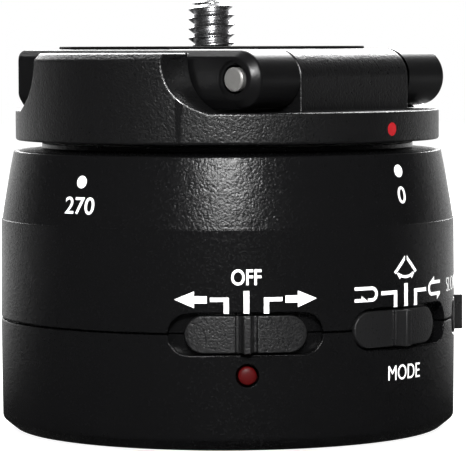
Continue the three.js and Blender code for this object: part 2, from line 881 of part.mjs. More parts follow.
function spindleScrewPlaces() {
  return Array.from({ length: spindleScrews }, (_, i) => {
    const angle = 360 * degree * i / spindleScrews;
    return [spindleScrewCircle * Math.cos(angle), spindleScrewCircle * Math.sin(angle)];
  });
}

function spindleScrew() {
  return capScrew(spindleScrewHeadRadius, spindleScrewHeadHeight, spindleScrewRadius,
    spindleFlangeThickness + spindleScrewReach, spindleScrewRadius,
    spindleScrewHeadHeight / 2);
}

function raceway(side) {
  const middle = (bearingBase + bearingTop) / 2;
  const groove = ballRadius + clearance;
  const land = side < 0 ? bearingBore + raceThickness : bearingOuterRadius - raceThickness;
  const halfAngle = Math.acos(Math.abs(land - ballCircle) / groove);
  const centre = side < 0 ? 180 * degree : 0;
  const points = arcPoints(ballCircle, middle, groove, centre - halfAngle, centre + halfAngle, 5);
  return { land, points };
}

function innerRace() {
  const { land, points } = raceway(-1);
  return turned([
    [bearingBore, bearingBase], [land, bearingBase], ...points.reverse(), [land, bearingTop],
    [bearingBore, bearingTop], [bearingBore, bearingBase],
  ], mediumSteps);
}

function outerRace() {
  const { land, points } = raceway(1);
  return turned([
    [bearingOuterRadius, bearingBase], [land, bearingBase], ...points, [land, bearingTop],
    [bearingOuterRadius, bearingTop], [bearingOuterRadius, bearingBase],
  ], mediumSteps);
}

function ballCage() {
  const middle = (bearingBase + bearingTop) / 2;
  const cage = ring(ballCircle - cageHalfWidth, ballCircle + cageHalfWidth,
    middle - cageHalfHeight, middle + cageHalfHeight, mediumSteps);
  const ball = solid(new THREE.SphereGeometry(ballRadius, 8, 4).rotateX(90 * degree));
  const set = Array.from({ length: balls }, (_, i) => spun(
    moved(ball, ballCircle, 0, middle), 360 * i / balls,
  ));
  return join(cage, ...set);
}

function gearWasher() {
  return ring(gearBoltRadius + clearance, gearWasherRadius,
    gearHeight - gearWasherThickness, gearHeight, mediumSteps);
}

function gearScrew() {
  return moved(capScrew(gearBoltHeadRadius, gearBoltHeadHeight, gearBoltRadius,
    gearWasherThickness + clearance + gearBoltReach, gearBoltDriveRadius, gearBoltDriveDepth),
  0, 0, gearHeight - gearWasherThickness);
}

function glideRing() {
  return ring(glideInnerRadius, glideOuterRadius, neckHeight - glideThickness, neckHeight, mediumSteps);
}

// Turntable: its X runs from the turning axis to the hinge and its Y along the hinge

function turntable() {
  const plate = turned([
    [0, spindleFlangeTop],
    [spindleFlangeRadius + clearance, spindleFlangeTop],
    [spindleFlangeRadius + clearance, discHeight],
    [reliefInnerRadius, discHeight],
    [reliefInnerRadius, discHeight + reliefDepth],
    [reliefOuterRadius, discHeight + reliefDepth],
    [reliefOuterRadius, discHeight],
    [discRadius - discLowerBevel, discHeight],
    [discRadius, discHeight + discLowerBevel],
    [discRadius, discTop - discUpperBevel],
    [discRadius - discUpperBevel, discTop],
    [0, discTop],
  ], largeSteps);
  const column = turned([
    [0, discHeight + reliefDepth],
    [discRadius - discLowerBevel, discHeight + reliefDepth],
    [discRadius, discHeight + reliefDepth + discLowerBevel],
    [discRadius, shroudTop - shroudBevel],
    [discRadius - shroudBevel, shroudTop],
    [0, shroudTop],
  ], largeSteps);
  const rise = shroudTop - discTop;
  const flare = shroudFlareShares.map(([up, out]) => [
    shroudEndWidth + (shroudFootWidth - shroudEndWidth) * out, discTop + rise * up,
  ]);
  const root = discTop - discUpperBevel;
  const outline = [
    [shroudFootWidth, root],
    ...flare,
    ...flare.slice().reverse().map(([along, height]) => [-along, height]),
    [-shroudFootWidth, root],
  ];
  const walls = [[shroudFace, discRadius + overrun], [-discRadius - overrun, -shroudFace]]
    .map(([low, high]) => column.intersect(prism(outline, "y", low, high)));
  const knuckle = prism([
    [hingeReach - knuckleRadius, discTop - discUpperBevel],
    [hingeReach + knuckleRadius, discTop - discUpperBevel],
    ...arcPoints(hingeReach, hingeHeight, knuckleRadius, 0, 180 * degree, smallSteps / 2),
  ], "y", -middleHalfWidth, middleHalfWidth);
  const pinHole = prism(circle(hingeReach, hingeHeight, pinRadius + clearance, smallSteps), "y",
    -middleHalfWidth - overrun, middleHalfWidth + overrun);
  const threadHoles = spindleScrewPlaces().map(([x, y]) => moved(
    disc(spindleScrewRadius + clearance, spindleFlangeTop - overrun,
      spindleFlangeTop + spindleScrewReach + clearance, smallSteps), x, y, 0,
  ));
  return cut(join(plate, ...walls, cut(knuckle, pinHole)), ...threadHoles);
}

// Platform

function platform() {
  const round = arcPoints(-platformRound, -platformRound, platformRound, 0, 90 * degree, 4);
  const foot = platformFoot + platformFootBevel;
  const plan = turned([
    [0, platformFoot],
    [platformRadius - platformFootInset, platformFoot],
    [platformRadius, foot],
    ...round.map(([out, up]) => [platformRadius + out, platformTop + up]),
    [0, platformTop],
  ], largeSteps);
  const section = prism([
    [-platformHalfWidth + platformFootInset, platformFoot],
    [platformHalfWidth - platformFootInset, platformFoot],
    [platformHalfWidth, foot],
    [platformHalfWidth, platformTop - knuckleBevel],
    [platformHalfWidth - knuckleBevel, platformTop],
    [knuckleBevel - platformHalfWidth, platformTop],
    [-platformHalfWidth, platformTop - knuckleBevel],
    [-platformHalfWidth, foot],
  ], "x", -platformRadius - overrun, hingeReach);
  const inner = cut(
    disc(platformRadius - platformSkirt, platformFoot - overrun, plateUnderside, largeSteps),
    box([hingeReach - notchRadius - platformSkirt, platformRadius],
      [-platformRadius, platformRadius], [0, platformTop]),
    ...[-1, 1].map((side) => moved(box([-platformRadius, platformRadius],
      [-platformSkirt, platformSkirt], [0, platformTop]), 0, side * platformHalfWidth, 0)),
  );
  const underHinge = box([hingeReach - notchRadius, platformRadius],
    [-notchHalfWidth, notchHalfWidth], [0, hingeHeight]);
  const barrel = knuckleBarrel();
  const ribs = join(
    moved(ring(ribRingRadius, ribRingRadius + ribThickness, plateUnderside - ribHeight,
      plateUnderside + seamBevel, mediumSteps), screwReach, 0, 0),
    ...underRibs(),
  );
  const shell = join(cut(plan.intersect(section), inner, underHinge), ribs.intersect(inner), barrel);
  const notch = join(
    prism(circle(hingeReach, hingeHeight, notchRadius, smallSteps), "y",
      -notchHalfWidth, notchHalfWidth),
    box([hingeReach, platformRadius], [-notchHalfWidth, notchHalfWidth], [0, platformTop + overrun]),
  );
  const pinHole = prism(circle(hingeReach, hingeHeight, pinRadius + clearance, smallSteps), "y",
    -platformHalfWidth - overrun, platformHalfWidth + overrun);
  const screwHole = moved(disc(screwShankRadius + clearance, platformFoot, platformTop + overrun,
    smallSteps), screwReach, 0, 0);
  return cut(shell, notch, pinHole, screwHole);
}

function knuckleBarrel() {
  const end = platformHalfWidth;
  const outline = [
    [0, -end], [knuckleRadius - knuckleBevel, -end], [knuckleRadius, knuckleBevel - end],
    [knuckleRadius, end - knuckleBevel], [knuckleRadius - knuckleBevel, end], [0, end],
  ];
  const recess = pinRecessDepth;
  const bar = turned(outline, mediumSteps);
  const recesses = [[end - recess, end + overrun], [-end - overrun, recess - end]]
    .map(([low, high]) => disc(pinRecessRadius, low, high, smallSteps));
  return cut(bar, ...recesses).rotate(90, 0, 0).translate(hingeReach, 0, hingeHeight);
}

function underRibs() {
  const half = ribThickness / 2;
  const height = [plateUnderside - ribHeight, plateUnderside + seamBevel];
  const ringReach = ribRingRadius + half;
  return [
    box([-platformRadius, screwReach - ringReach], [-half, half], height),
    box([screwReach + ringReach, hingeReach], [-half, half], height),
    box([screwReach - half, screwReach + half], [ringReach, platformHalfWidth], height),
    box([screwReach - half, screwReach + half], [-platformHalfWidth, -ringReach], height),
  ];
}

function hingePin() {
  const end = platformHalfWidth + pinProud;
  return turned([
    [0, -end], [pinRadius - pinBevel, -end], [pinRadius, pinBevel - end],
    [pinRadius, end - pinBevel], [pinRadius - pinBevel, end], [0, end],
  ], smallSteps).rotate(90, 0, 0).translate(hingeReach, 0, hingeHeight);
}

function topPad() {
  const round = moved(
    ring(threadMajorRadius + clearance, topPadRadius, platformTop, padTop, mediumSteps),
    screwReach, 0, 0,
  );
  return round.intersect(box([-platformRadius, platformRadius],
    [-topPadHalfWidth, topPadHalfWidth], [platformFoot, screwTop]));
}

// The turned solid whose radius follows a screw thread between two heights.
function threadedRod(low, high, tipRadius, tipHeight) {
  const rows = Math.round((high - low) / threadPitch * 6);
  const depth = threadMajorRadius - threadMinorRadius;
  const radiusAt = (share, height) => {
    const phase = (height / threadPitch + threadStart + 1 - share) % 1;
    const crest = Math.min(1, Math.max(0, 1.6 * Math.abs(2 * phase - 1) - 0.3));
    const runout = Math.min(1, (height - low) / threadRunout);
    const tip = tipRadius + (threadMajorRadius - tipRadius) * (high - height) / tipHeight;
    return Math.min(tip, threadMinorRadius + depth * crest * Math.max(0, runout));
  };
  const positions = [];
  const triangles = [];
  for (let row = 0; row <= rows; row += 1) {
    const height = low + (high - low) * row / rows;
    for (let i = 0; i < smallSteps; i += 1) {
      const angle = 360 * degree * i / smallSteps;
      const radius = radiusAt(i / smallSteps, height);
      positions.push(radius * Math.cos(angle), radius * Math.sin(angle), height);
    }
  }
  const at = (row, i) => row * smallSteps + (i % smallSteps);
  for (let row = 0; row < rows; row += 1) {
    for (let i = 0; i < smallSteps; i += 1) {
      triangles.push(at(row, i), at(row, i + 1), at(row + 1, i + 1));
      triangles.push(at(row, i), at(row + 1, i + 1), at(row + 1, i));
    }
  }
  const ends = [[0, low], [rows, high]].map(([row, height]) => {
    positions.push(0, 0, height);
    return [row, positions.length / 3 - 1];
  });
  for (let i = 0; i < smallSteps; i += 1) {
    triangles.push(ends[0][1], at(0, i + 1), at(0, i));
    triangles.push(ends[1][1], at(rows, i), at(rows, i + 1));
  }
  const geometry = new THREE.BufferGeometry();
  geometry.setAttribute("position", new THREE.Float32BufferAttribute(positions, 3));
  geometry.setIndex(triangles);
  return solid(geometry);
}

function cameraScrew() {
  const headBase = screwHeadTop - screwHeadThickness;
  const shank = turned([
    [0, headBase],
    [screwHeadRadius - screwHeadBevel, headBase],
    [screwHeadRadius, headBase + screwHeadBevel],
    [screwHeadRadius, screwHeadTop - screwHeadBevel],
    [screwHeadRadius - screwHeadBevel, screwHeadTop],
    [screwShankRadius, screwHeadTop],
    [screwShankRadius, platformTop + topPadThickness / 2],
    [0, platformTop + topPadThickness / 2],
  ], mediumSteps);
  const slot = box([-screwSlotHalfWidth, screwSlotHalfWidth], [-platformRadius, platformRadius],
    [headBase - overrun, headBase + screwSlotDepth]);
  return moved(cut(
    join(shank, threadedRod(platformTop + clearance / 2, screwTop, screwTipRadius, screwTipHeight)),
    slot,
  ), screwReach, 0, 0);
}

// Materials and the assembly

const finishes = {
  grainPlastic: { color: "#1b1b1d", roughness: 0.62, metalness: 0 },
  satinBlack: { color: "#161617", roughness: 0.42, metalness: 0 },
  buttonPlastic: { color: "#2b2b2d", roughness: 0.6, metalness: 0 },
  rubber: { color: "#141414", roughness: 0.9, metalness: 0 },
  steel: { color: "#b9bcc0", roughness: 0.28, metalness: 1 },
  darkSteel: { color: "#5a5c60", roughness: 0.4, metalness: 1 },
  brass: { color: "#c3a052", roughness: 0.35, metalness: 1 },
  redLens: { color: "#8a0c12", roughness: 0.15, metalness: 0 },
  clearLed: { color: "#e6dcd6", roughness: 0.2, metalness: 0 },
  board: { color: "#1d5a34", roughness: 0.5, metalness: 0 },
  chip: { color: "#202020", roughness: 0.55, metalness: 0 },
  whitePlastic: { color: "#e8e8e4", roughness: 0.45, metalness: 0 },
  batteryFoil: { color: "#9fa6ad", roughness: 0.45, metalness: 0.6 },
  foamTape: { color: "#d9d4c4", roughness: 0.9, metalness: 0 },
};

function piece(name, body, finish) {
  const { vertProperties, triVerts } = body.getMesh();
  const geometry = new THREE.BufferGeometry();
  geometry.setAttribute("position", new THREE.Float32BufferAttribute(vertProperties, 3));
  geometry.setIndex(Array.from(triVerts));
  geometry.computeVertexNormals();
  const mesh = new THREE.Mesh(geometry, new THREE.MeshStandardMaterial(finishes[finish]));
  mesh.name = name;
  return mesh;
}

function placed(mesh, x, y, z) {
  mesh.position.set(x, y, z);
  return mesh;
}

function turnedGroup(angle, ...meshes) {
  const group = new THREE.Group();
  group.rotation.z = facing(angle) * degree;
  group.add(...meshes);
  return group;
}

const head = new THREE.Group();
head.position.z = padProud;

head.add(
  piece("lower_shell", lowerShell(), "grainPlastic"),
  piece("upper_shell", upperShell(), "grainPlastic"),
  piece("base_pad", basePad(), "rubber"),
  piece("tripod_bush", tripodBush(), "brass"),
  piece("circuit_board", circuitBoard(), "board"),
  piece("control_chip", controlChip(), "chip"),
  piece("battery_cell", battery(), "batteryFoil"),
  piece("battery_tape", batteryTape(), "foamTape"),
  piece("motor_can", motorCan(), "steel"),
  piece("motor_gearbox", gearbox(), "brass"),
  piece("motor_bracket", motorBracket(), "whitePlastic"),
  placed(piece("motor_shaft", motorShaft(), "steel"), -motorReach, 0, 0),
  placed(piece("motor_pinion", pinion(), "brass"), -motorReach, 0, 0),
  piece("bearing_outer_race", outerRace(), "steel"),
  piece("bearing_inner_race", innerRace(), "steel"),
  piece("bearing_ball_cage", ballCage(), "brass"),
  piece("drive_gear", driveGear(), "whitePlastic"),
  piece("gear_washer", gearWasher(), "steel"),
  piece("gear_screw", gearScrew(), "darkSteel"),
  piece("glide_ring", glideRing(), "whitePlastic"),
  turnedGroup(lensAngle, piece("indicator_lens", lens(), "redLens"), piece("indicator_led", led(), "clearLed")),
  turnedGroup(socketAngle, piece("charging_socket", chargingSocket(), "steel")),
);

bossAngles.forEach((angle, i) => {
  const [x, y] = aroundBody(angle, bossCircleRadius);
  head.add(placed(piece(`base_screw_${i + 1}`, baseScrew(), "darkSteel"), x, y, boltSeat));
});

[-1, 1].forEach((side, i) => {
  head.add(placed(piece(`bracket_screw_${i + 1}`, bracketScrew(), "darkSteel"),
    -motorReach, side * bracketBoltReach, 0));
});

for (const { name, angle, restShare } of switches) {
  head.add(turnedGroup(angle, piece(`${name}_switch_case`, switchCase(), "darkSteel")));
  head.add(turnedGroup(angle + restShare * switchTravel / degree,
    piece(`${name}_button`, slideButton(), "buttonPlastic"),
    piece(`${name}_switch_lever`, switchLever(), "chip")));
}

head.add(turnedGroup(topAngle,
  piece("turntable", turntable(), "grainPlastic"),
  piece("spindle", spindle(), "steel"),
  ...spindleScrewPlaces().map(([x, y], i) => placed(
    piece(`spindle_screw_${i + 1}`, spindleScrew(), "darkSteel"), x, y, spindleFlangeBase,
  )),
  piece("platform", platform(), "satinBlack"),
  piece("platform_pad", topPad(), "rubber"),
  piece("hinge_pin", hingePin(), "steel"),
  piece("camera_screw", cameraScrew(), "steel"),
));

export default head;
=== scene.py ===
"""Looks of the panoramic tripod head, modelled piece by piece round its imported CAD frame.

Lengths are written in millimetres and turned into metres by MM. Angles round the body start
at -Y, where the direction switch is, and grow toward +X. Heights are those of the CAD model,
measured from the base face, and LIFT adds the part of the rubber ring that stands proud.
"""

from __future__ import annotations

import logging
import math
from dataclasses import dataclass
from enum import Enum
from typing import Callable, Iterable, Sequence

import bmesh
import bpy
from mathutils import Matrix, Vector

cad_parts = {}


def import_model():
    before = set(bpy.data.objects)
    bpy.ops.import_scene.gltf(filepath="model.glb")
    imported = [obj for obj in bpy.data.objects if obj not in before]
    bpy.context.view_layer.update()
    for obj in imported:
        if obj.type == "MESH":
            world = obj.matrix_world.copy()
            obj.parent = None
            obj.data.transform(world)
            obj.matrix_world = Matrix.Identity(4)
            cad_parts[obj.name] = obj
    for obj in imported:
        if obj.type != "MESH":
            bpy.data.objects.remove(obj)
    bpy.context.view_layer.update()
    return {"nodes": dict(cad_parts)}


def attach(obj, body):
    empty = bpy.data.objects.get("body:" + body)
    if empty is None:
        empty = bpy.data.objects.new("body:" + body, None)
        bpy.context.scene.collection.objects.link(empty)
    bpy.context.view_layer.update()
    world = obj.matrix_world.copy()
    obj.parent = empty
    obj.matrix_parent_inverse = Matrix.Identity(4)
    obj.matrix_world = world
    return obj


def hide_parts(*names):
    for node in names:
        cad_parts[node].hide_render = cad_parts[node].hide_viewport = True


LOG = logging.getLogger("tripod_head")
MM = 0.001
LIFT = 0.3
FINE_STEPS = 288
MEDIUM_STEPS = 128
SMALL_STEPS = 64
ON_AXIS = 1e-6

Point = tuple[float, float]
Corner = tuple[float, float, float]
Colour = tuple[float, float, float]


class Axis(Enum):
    """The direction in which an outline is drawn out, and the two axes of its plane."""

    X = (1, 2, 0)
    Y = (0, 2, 1)
    Z = (0, 1, 2)


class Join(Enum):
    """The ways in which one solid changes another."""

    CUT = "DIFFERENCE"
    ADD = "UNION"
    KEEP = "INTERSECT"


# Outlines


def rounded(corners: Sequence[Corner], steps: int = 5, closed: bool = True) -> list[Point]:
    """Round each corner of an outline by its own length.

    Args:
        corners: the corners, each with the length that its round takes off both edges.
        steps: the number of facets of each round.
        closed: whether the last corner joins the first.

    Returns:
        The points of the rounded outline.
    """
    points: list[Point] = []
    count = len(corners)
    for index, (a, b, size) in enumerate(corners):
        at_end = not closed and index in (0, count - 1)
        if size <= 0 or at_end:
            points.append((a, b))
            continue
        corner = Vector((a, b))
        before = Vector(corners[index - 1][:2]) - corner
        after = Vector(corners[(index + 1) % count][:2]) - corner
        start = corner + before.normalized() * min(size, before.length * 0.49)
        end = corner + after.normalized() * min(size, after.length * 0.49)
        for step in range(steps + 1):
            share = step / steps
            point = start.lerp(corner, share).lerp(corner.lerp(end, share), share)
            points.append((point.x, point.y))
    return points


def arc(centre: Point, radius: float, start: float, end: float, steps: int) -> list[Point]:
    """Give points along a round stretch.

    Args:
        centre: the centre of the round.
        radius: its radius.
        start: the angle of the first point, in degrees.
        end: the angle of the last point, in degrees.
        steps: the number of facets.

    Returns:
        The points, both ends included.
    """
    angles = (math.radians(start + (end - start) * step / steps) for step in range(steps + 1))
    return [(centre[0] + radius * math.cos(a), centre[1] + radius * math.sin(a)) for a in angles]


def stadium(half_length: float, half_height: float, middle: float, steps: int = 20) -> list[Point]:
    """Give a bar with round ends, drawn about a middle height.

    Args:
        half_length: half of the whole length.
        half_height: half of the height, and the radius of the ends.
        middle: the height of the bar's middle line.
        steps: the number of facets of each end.

    Returns:
        The points of the outline.
    """
    reach = half_length - half_height
    right = arc((reach, middle), half_height, -90, 90, steps)
    left = arc((-reach, middle), half_height, 90, 270, steps)
    return right + left


# Solids


def linked(name: str, data: bpy.types.ID) -> bpy.types.Object:
    """Make an object for a mesh, curve, lamp or camera and link it to the scene."""
    item = bpy.data.objects.new(name, data)
    bpy.context.scene.collection.objects.link(item)
    return item


def new_object(
    name: str, vertices: Iterable[Sequence[float]], faces: Iterable[Sequence[int]]
) -> bpy.types.Object:
    """Make a mesh object from millimetre points.

    Args:
        name: the name of the object.
        vertices: the points, in millimetres.
        faces: the corners of each face.

    Returns:
        The new object, linked to the scene, with its faces turned outward.
    """
    mesh = bpy.data.meshes.new(name)
    mesh.from_pydata([[c * MM for c in v] for v in vertices], [], [list(f) for f in faces])
    work = bmesh.new()
    work.from_mesh(mesh)
    bmesh.ops.remove_doubles(work, verts=work.verts, dist=1e-8)
    bmesh.ops.recalc_face_normals(work, faces=work.faces)
    work.to_mesh(mesh)
    work.free()
    return linked(name, mesh)


def revolved(
    name: str,
    profile: Sequence[Point],
    steps: int = FINE_STEPS,
    ripple: Callable[[float, float, float], float] | None = None,
) -> bpy.types.Object:
    """Turn a profile about the upright axis.

    Args:
        name: the name of the object.
        profile: radii and heights; it closes on itself, or starts and ends on the axis.
        steps: the number of facets round the axis.
        ripple: gives the radius of a point from its turn, radius and height.

    Returns:
        The turned solid.
    """
    rows: list[list[int]] = []
    vertices: list[tuple[float, float, float]] = []
    for radius, height in profile:
        if radius <= ON_AXIS:
            rows.append([len(vertices)] * steps)
            vertices.append((0.0, 0.0, height))
            continue
        rows.append(list(range(len(vertices), len(vertices) + steps)))
        for step in range(steps):
            turn = step / steps
            r = ripple(turn, radius, height) if ripple else radius
            angle = math.tau * turn
            vertices.append((r * math.cos(angle), r * math.sin(angle), height))
    open_ended = profile[0][0] <= ON_AXIS and profile[-1][0] <= ON_AXIS
    pairs = list(zip(rows, rows[1:])) + ([] if open_ended else [(rows[-1], rows[0])])
    faces: list[list[int]] = []
    for low, high in pairs:
        for step in range(steps):
            after = (step + 1) % steps
            ring = [low[step], low[after], high[after], high[step]]
            face = list(dict.fromkeys(ring))
            if len(face) > 2:
                faces.append(face)
    return new_object(name, vertices, faces)


def drawn_out(name: str, outline: Sequence[Point], axis: Axis, low: float, high: float) -> bpy.types.Object:
    """Draw an outline out along an axis.

    Args:
        name: the name of the object.
        outline: the points of the outline, in the axis's plane.
        axis: the direction of the draw.
        low: where the draw starts.
        high: where it ends.

    Returns:
        The prism.
    """
    first, second, along = axis.value
    vertices: list[list[float]] = []
    for level in (low, high):
        for a, b in outline:
            vertex = [0.0, 0.0, 0.0]
            vertex[first], vertex[second], vertex[along] = a, b, level
            vertices.append(vertex)
    count = len(outline)
    faces = [list(range(count)), list(range(count, 2 * count))]
    faces += [[i, (i + 1) % count, count + (i + 1) % count, count + i] for i in range(count)]
    return new_object(name, vertices, faces)


def block(name: str, x: Point, y: Point, z: Point) -> bpy.types.Object:
    """Make a plain cutting block from its lows and highs."""
    return drawn_out(name, [(x[0], y[0]), (x[1], y[0]), (x[1], y[1]), (x[0], y[1])], Axis.Z, *z)


def lipped_plug(
    name: str,
    outline: Callable[[float], list[Point]],
    inner: float,
    surface: float,
    lip: float,
    out: float,
) -> bpy.types.Object:
    """Make a plug that cuts a hole with a rounded lip into a round wall, facing +X.

    Args:
        name: the name of the object.
        outline: gives the hole's outline in Y and Z, grown by a length.
        inner: where the plug starts, along X.
        surface: the radius of the wall's outer face.
        lip: the radius of the rounded lip.
        out: how far the plug passes the wall's face.

    Returns:
        The plug.
    """
    levels = [(inner, 0.0, False)]
    for step in range(6):
        angle = math.radians(90 * step / 5)
        levels.append((surface - lip + lip * math.sin(angle), lip * (1 - math.cos(angle)), True))
    levels.append((surface + out, lip, True))
    vertices: list[tuple[float, float, float]] = []
    for level, grow, follows in levels:
        for y, z in outline(grow):
            x = math.sqrt(level**2 - y**2) if follows else level
            vertices.append((x, y, z))
    count = len(outline(0.0))
    faces: list[list[int]] = [list(range(count))]
    for row in range(len(levels) - 1):
        base = row * count
        for i in range(count):
            j = (i + 1) % count
            faces.append([base + i, base + j, base + count + j, base + count + i])
    centre = len(vertices)
    vertices.append((surface + out, 0.0, sum(z for _, z in outline(0.0)) / count))
    top = (len(levels) - 1) * count
    faces += [[top + i, top + (i + 1) % count, centre] for i in range(count)]
    return new_object(name, vertices, faces)


def placed(item: bpy.types.Object, matrix: Matrix) -> bpy.types.Object:
    """Move an object's mesh, so that the object itself stays at the origin."""
    item.data.transform(matrix)
    item.data.update()
    return item


def shifted(item: bpy.types.Object, x: float = 0.0, y: float = 0.0, z: float = 0.0) -> bpy.types.Object:
    """Shift an object's mesh by millimetres."""
    return placed(item, Matrix.Translation((x * MM, y * MM, z * MM)))


def faced(item: bpy.types.Object, angle: float) -> bpy.types.Object:
    """Turn what faces +X to an angle round the body."""
    return placed(item, Matrix.Rotation(math.radians(angle - 90), 4, "Z"))


def baked(item: bpy.types.Object) -> bpy.types.Object:
    """Apply an object's modifiers to its mesh."""
    graph = bpy.context.evaluated_depsgraph_get()
    mesh = bpy.data.meshes.new_from_object(item.evaluated_get(graph))
    old = item.data
    item.modifiers.clear()
    item.data = mesh
    bpy.data.meshes.remove(old)
    return item


def combined(body: bpy.types.Object, tool: bpy.types.Object, way: Join) -> bpy.types.Object:
    """Change one solid by another, which is used up.

    Args:
        body: the solid that is kept.
        tool: the solid that cuts, joins or bounds it.
        way: how it does so.

    Returns:
        The changed solid.
    """
    modifier = body.modifiers.new("combine", "BOOLEAN")
    modifier.object = tool
    modifier.operation = way.value
    modifier.solver = "EXACT"
    baked(body)
    mesh = tool.data
    bpy.data.objects.remove(tool)
    bpy.data.meshes.remove(mesh)
    return body


def cut(body: bpy.types.Object, *tools: bpy.types.Object) -> bpy.types.Object:
    """Cut solids out of a solid, one after another."""
    for tool in tools:
        combined(body, tool, Join.CUT)
    return body


def joined(body: bpy.types.Object, *others: bpy.types.Object) -> bpy.types.Object:
    """Put other objects' shells into one object's mesh."""
    work = bmesh.new()
    work.from_mesh(body.data)
    for other in others:
        work.from_mesh(other.data)
        bpy.data.objects.remove(other)
    work.to_mesh(body.data)
    work.free()
    return body


def eased(
    item: bpy.types.Object, width: float, angle: float = 32.0, segments: int = 3, clamped: bool = False
) -> bpy.types.Object:
    """Round the sharp edges of a solid.

    Args:
        item: the solid.
        width: the width of the round.
        angle: the least angle of an edge that is rounded, in degrees.
        segments: the number of facets across the round.
        clamped: whether rounds that would meet are narrowed instead.

    Returns:
        The eased solid.
    """
    work = bmesh.new()
    work.from_mesh(item.data)
    bmesh.ops.remove_doubles(work, verts=work.verts, dist=0.012 * MM)
    bmesh.ops.dissolve_degenerate(work, edges=work.edges, dist=0.005 * MM)
    work.to_mesh(item.data)
    work.free()
    modifier = item.modifiers.new("ease", "BEVEL")
    modifier.width = width * MM
    modifier.segments = segments
    modifier.limit_method = "ANGLE"
    modifier.angle_limit = math.radians(angle)
    modifier.use_clamp_overlap = clamped
    modifier.miter_outer = "MITER_ARC"
    return baked(item)


def finished(item: bpy.types.Object, angle: float = 30.0) -> bpy.types.Object:
    """Shade a solid smooth up to an angle, and even out the normals of its wide faces."""
    item.data.shade_smooth()
    item.data.set_sharp_from_angle(angle=math.radians(angle))
    modifier = item.modifiers.new("even", "WEIGHTED_NORMAL")
    modifier.keep_sharp = True
    return baked(item)


# Shader groups


class Wiring:
    """A node tree under construction."""

    def __init__(self, tree: bpy.types.NodeTree) -> None:
        """Keep the tree."""
        self.tree = tree

    def add(
        self, kind: str, inputs: dict[str | int, object] | None = None, **values: object
    ) -> bpy.types.Node:
        """Add a node.

        Args:
            kind: the node's type.
            inputs: what its inputs get, as feed takes it.
            values: its properties.

        Returns:
            The node.
        """
        node = self.tree.nodes.new(kind)
        for key, value in values.items():
            setattr(node, key, value)
        self.feed(node, inputs or {})
        return node

    def feed(self, node: bpy.types.Node, inputs: dict[str | int, object]) -> None:
        """Link or set a node's inputs.

        Args:
            node: the node.
            inputs: a socket to link, or the value to set, for each name or number of an input.
        """
        for label, value in inputs.items():
            if isinstance(value, bpy.types.NodeSocket):
                self.tree.links.new(value, node.inputs[label])
            else:
                node.inputs[label].default_value = value


class Sheet(Wiring):
    """A shader node group under construction, with named inputs and outputs."""

    def __init__(self, name: str, inputs: dict[str, float], outputs: Sequence[str]) -> None:
        """Make the group and its sockets.

        Args:
            name: the name of the group.
            inputs: its number inputs with their defaults.
            outputs: its number outputs.
        """
        super().__init__(bpy.data.node_groups.new(name, "ShaderNodeTree"))
        for label, value in inputs.items():
            socket = self.tree.interface.new_socket(label, in_out="INPUT", socket_type="NodeSocketFloat")
            socket.default_value = value
        for label in outputs:
            self.tree.interface.new_socket(label, in_out="OUTPUT", socket_type="NodeSocketFloat")
        self.entry = self.add("NodeGroupInput")
        self.exit = self.add("NodeGroupOutput")

    def math(
        self, operation: str, a: object, b: object = 0.0, clamp: bool = False
    ) -> bpy.types.NodeSocket:
        """Add a math node.

        Args:
            operation: the operation's name.
            a: a socket or a number.
            b: a socket or a number.
            clamp: whether the result is kept between 0 and 1.

        Returns:
            The result's socket.
        """
        return self.add("ShaderNodeMath", {0: a, 1: b}, operation=operation, use_clamp=clamp).outputs[0]

    def noise(self, scale: object, detail: float, roughness: float) -> bpy.types.NodeSocket:
        """Add a noise on the object's own coordinates and give its value."""
        place = self.add("ShaderNodeTexCoord")
        return self.add("ShaderNodeTexNoise", {
            "Vector": place.outputs["Object"], "Scale": scale, "Detail": detail, "Roughness": roughness,
        }).outputs[0]


def grain_group() -> bpy.types.NodeTree:
    """Build the moulded grain: pits of a spark-eroded tool, with uneven gloss.

    Returns:
        A group that gives the height and the roughness of the surface.
    """
    sheet = Sheet(
        "moulded_grain",
        {"Grain per metre": 5200.0, "Gloss spread": 0.12, "Roughness": 0.42},
        ("Height", "Roughness"),
    )
    scale = sheet.entry.outputs["Grain per metre"]
    pits = sheet.noise(scale, 2.0, 0.55)
    broad = sheet.noise(sheet.math("MULTIPLY", scale, 0.21), 1.0, 0.5)
    patch = sheet.noise(60.0, 2.0, 0.5)
    height = sheet.math("ADD", pits, sheet.math("MULTIPLY", broad, 0.55))
    spread = sheet.math("MULTIPLY", sheet.math("SUBTRACT", pits, 0.5), 2.0)
    spread = sheet.math("MULTIPLY", spread, sheet.entry.outputs["Gloss spread"])
    wide = sheet.math("MULTIPLY", sheet.math("SUBTRACT", patch, 0.5), 0.1)
    rough = sheet.math("ADD", sheet.entry.outputs["Roughness"], sheet.math("ADD", spread, wide))
    rough = sheet.math("MAXIMUM", rough, 0.05, clamp=True)
    sheet.feed(sheet.exit, {"Height": height, "Roughness": rough})
    return sheet.tree


def tool_mark_group() -> bpy.types.NodeTree:
    """Build the fine rings that a lathe or a brush leaves on metal.

    Returns:
        A group that gives the height and the roughness of the surface.
    """
    sheet = Sheet(
        "tool_marks",
        {"Marks per metre": 9000.0, "Roughness": 0.25, "Gloss spread": 0.12},
        ("Height", "Roughness"),
    )
    fine = sheet.noise(sheet.entry.outputs["Marks per metre"], 1.0, 0.5)
    broad = sheet.noise(700.0, 3.0, 0.6)
    height = sheet.math("ADD", fine, sheet.math("MULTIPLY", broad, 0.4))
    spread = sheet.math("MULTIPLY", sheet.math("SUBTRACT", broad, 0.5), sheet.entry.outputs["Gloss spread"])
    rough = sheet.math("ADD", sheet.entry.outputs["Roughness"], spread, clamp=True)
    sheet.feed(sheet.exit, {"Height": height, "Roughness": rough})
    return sheet.tree


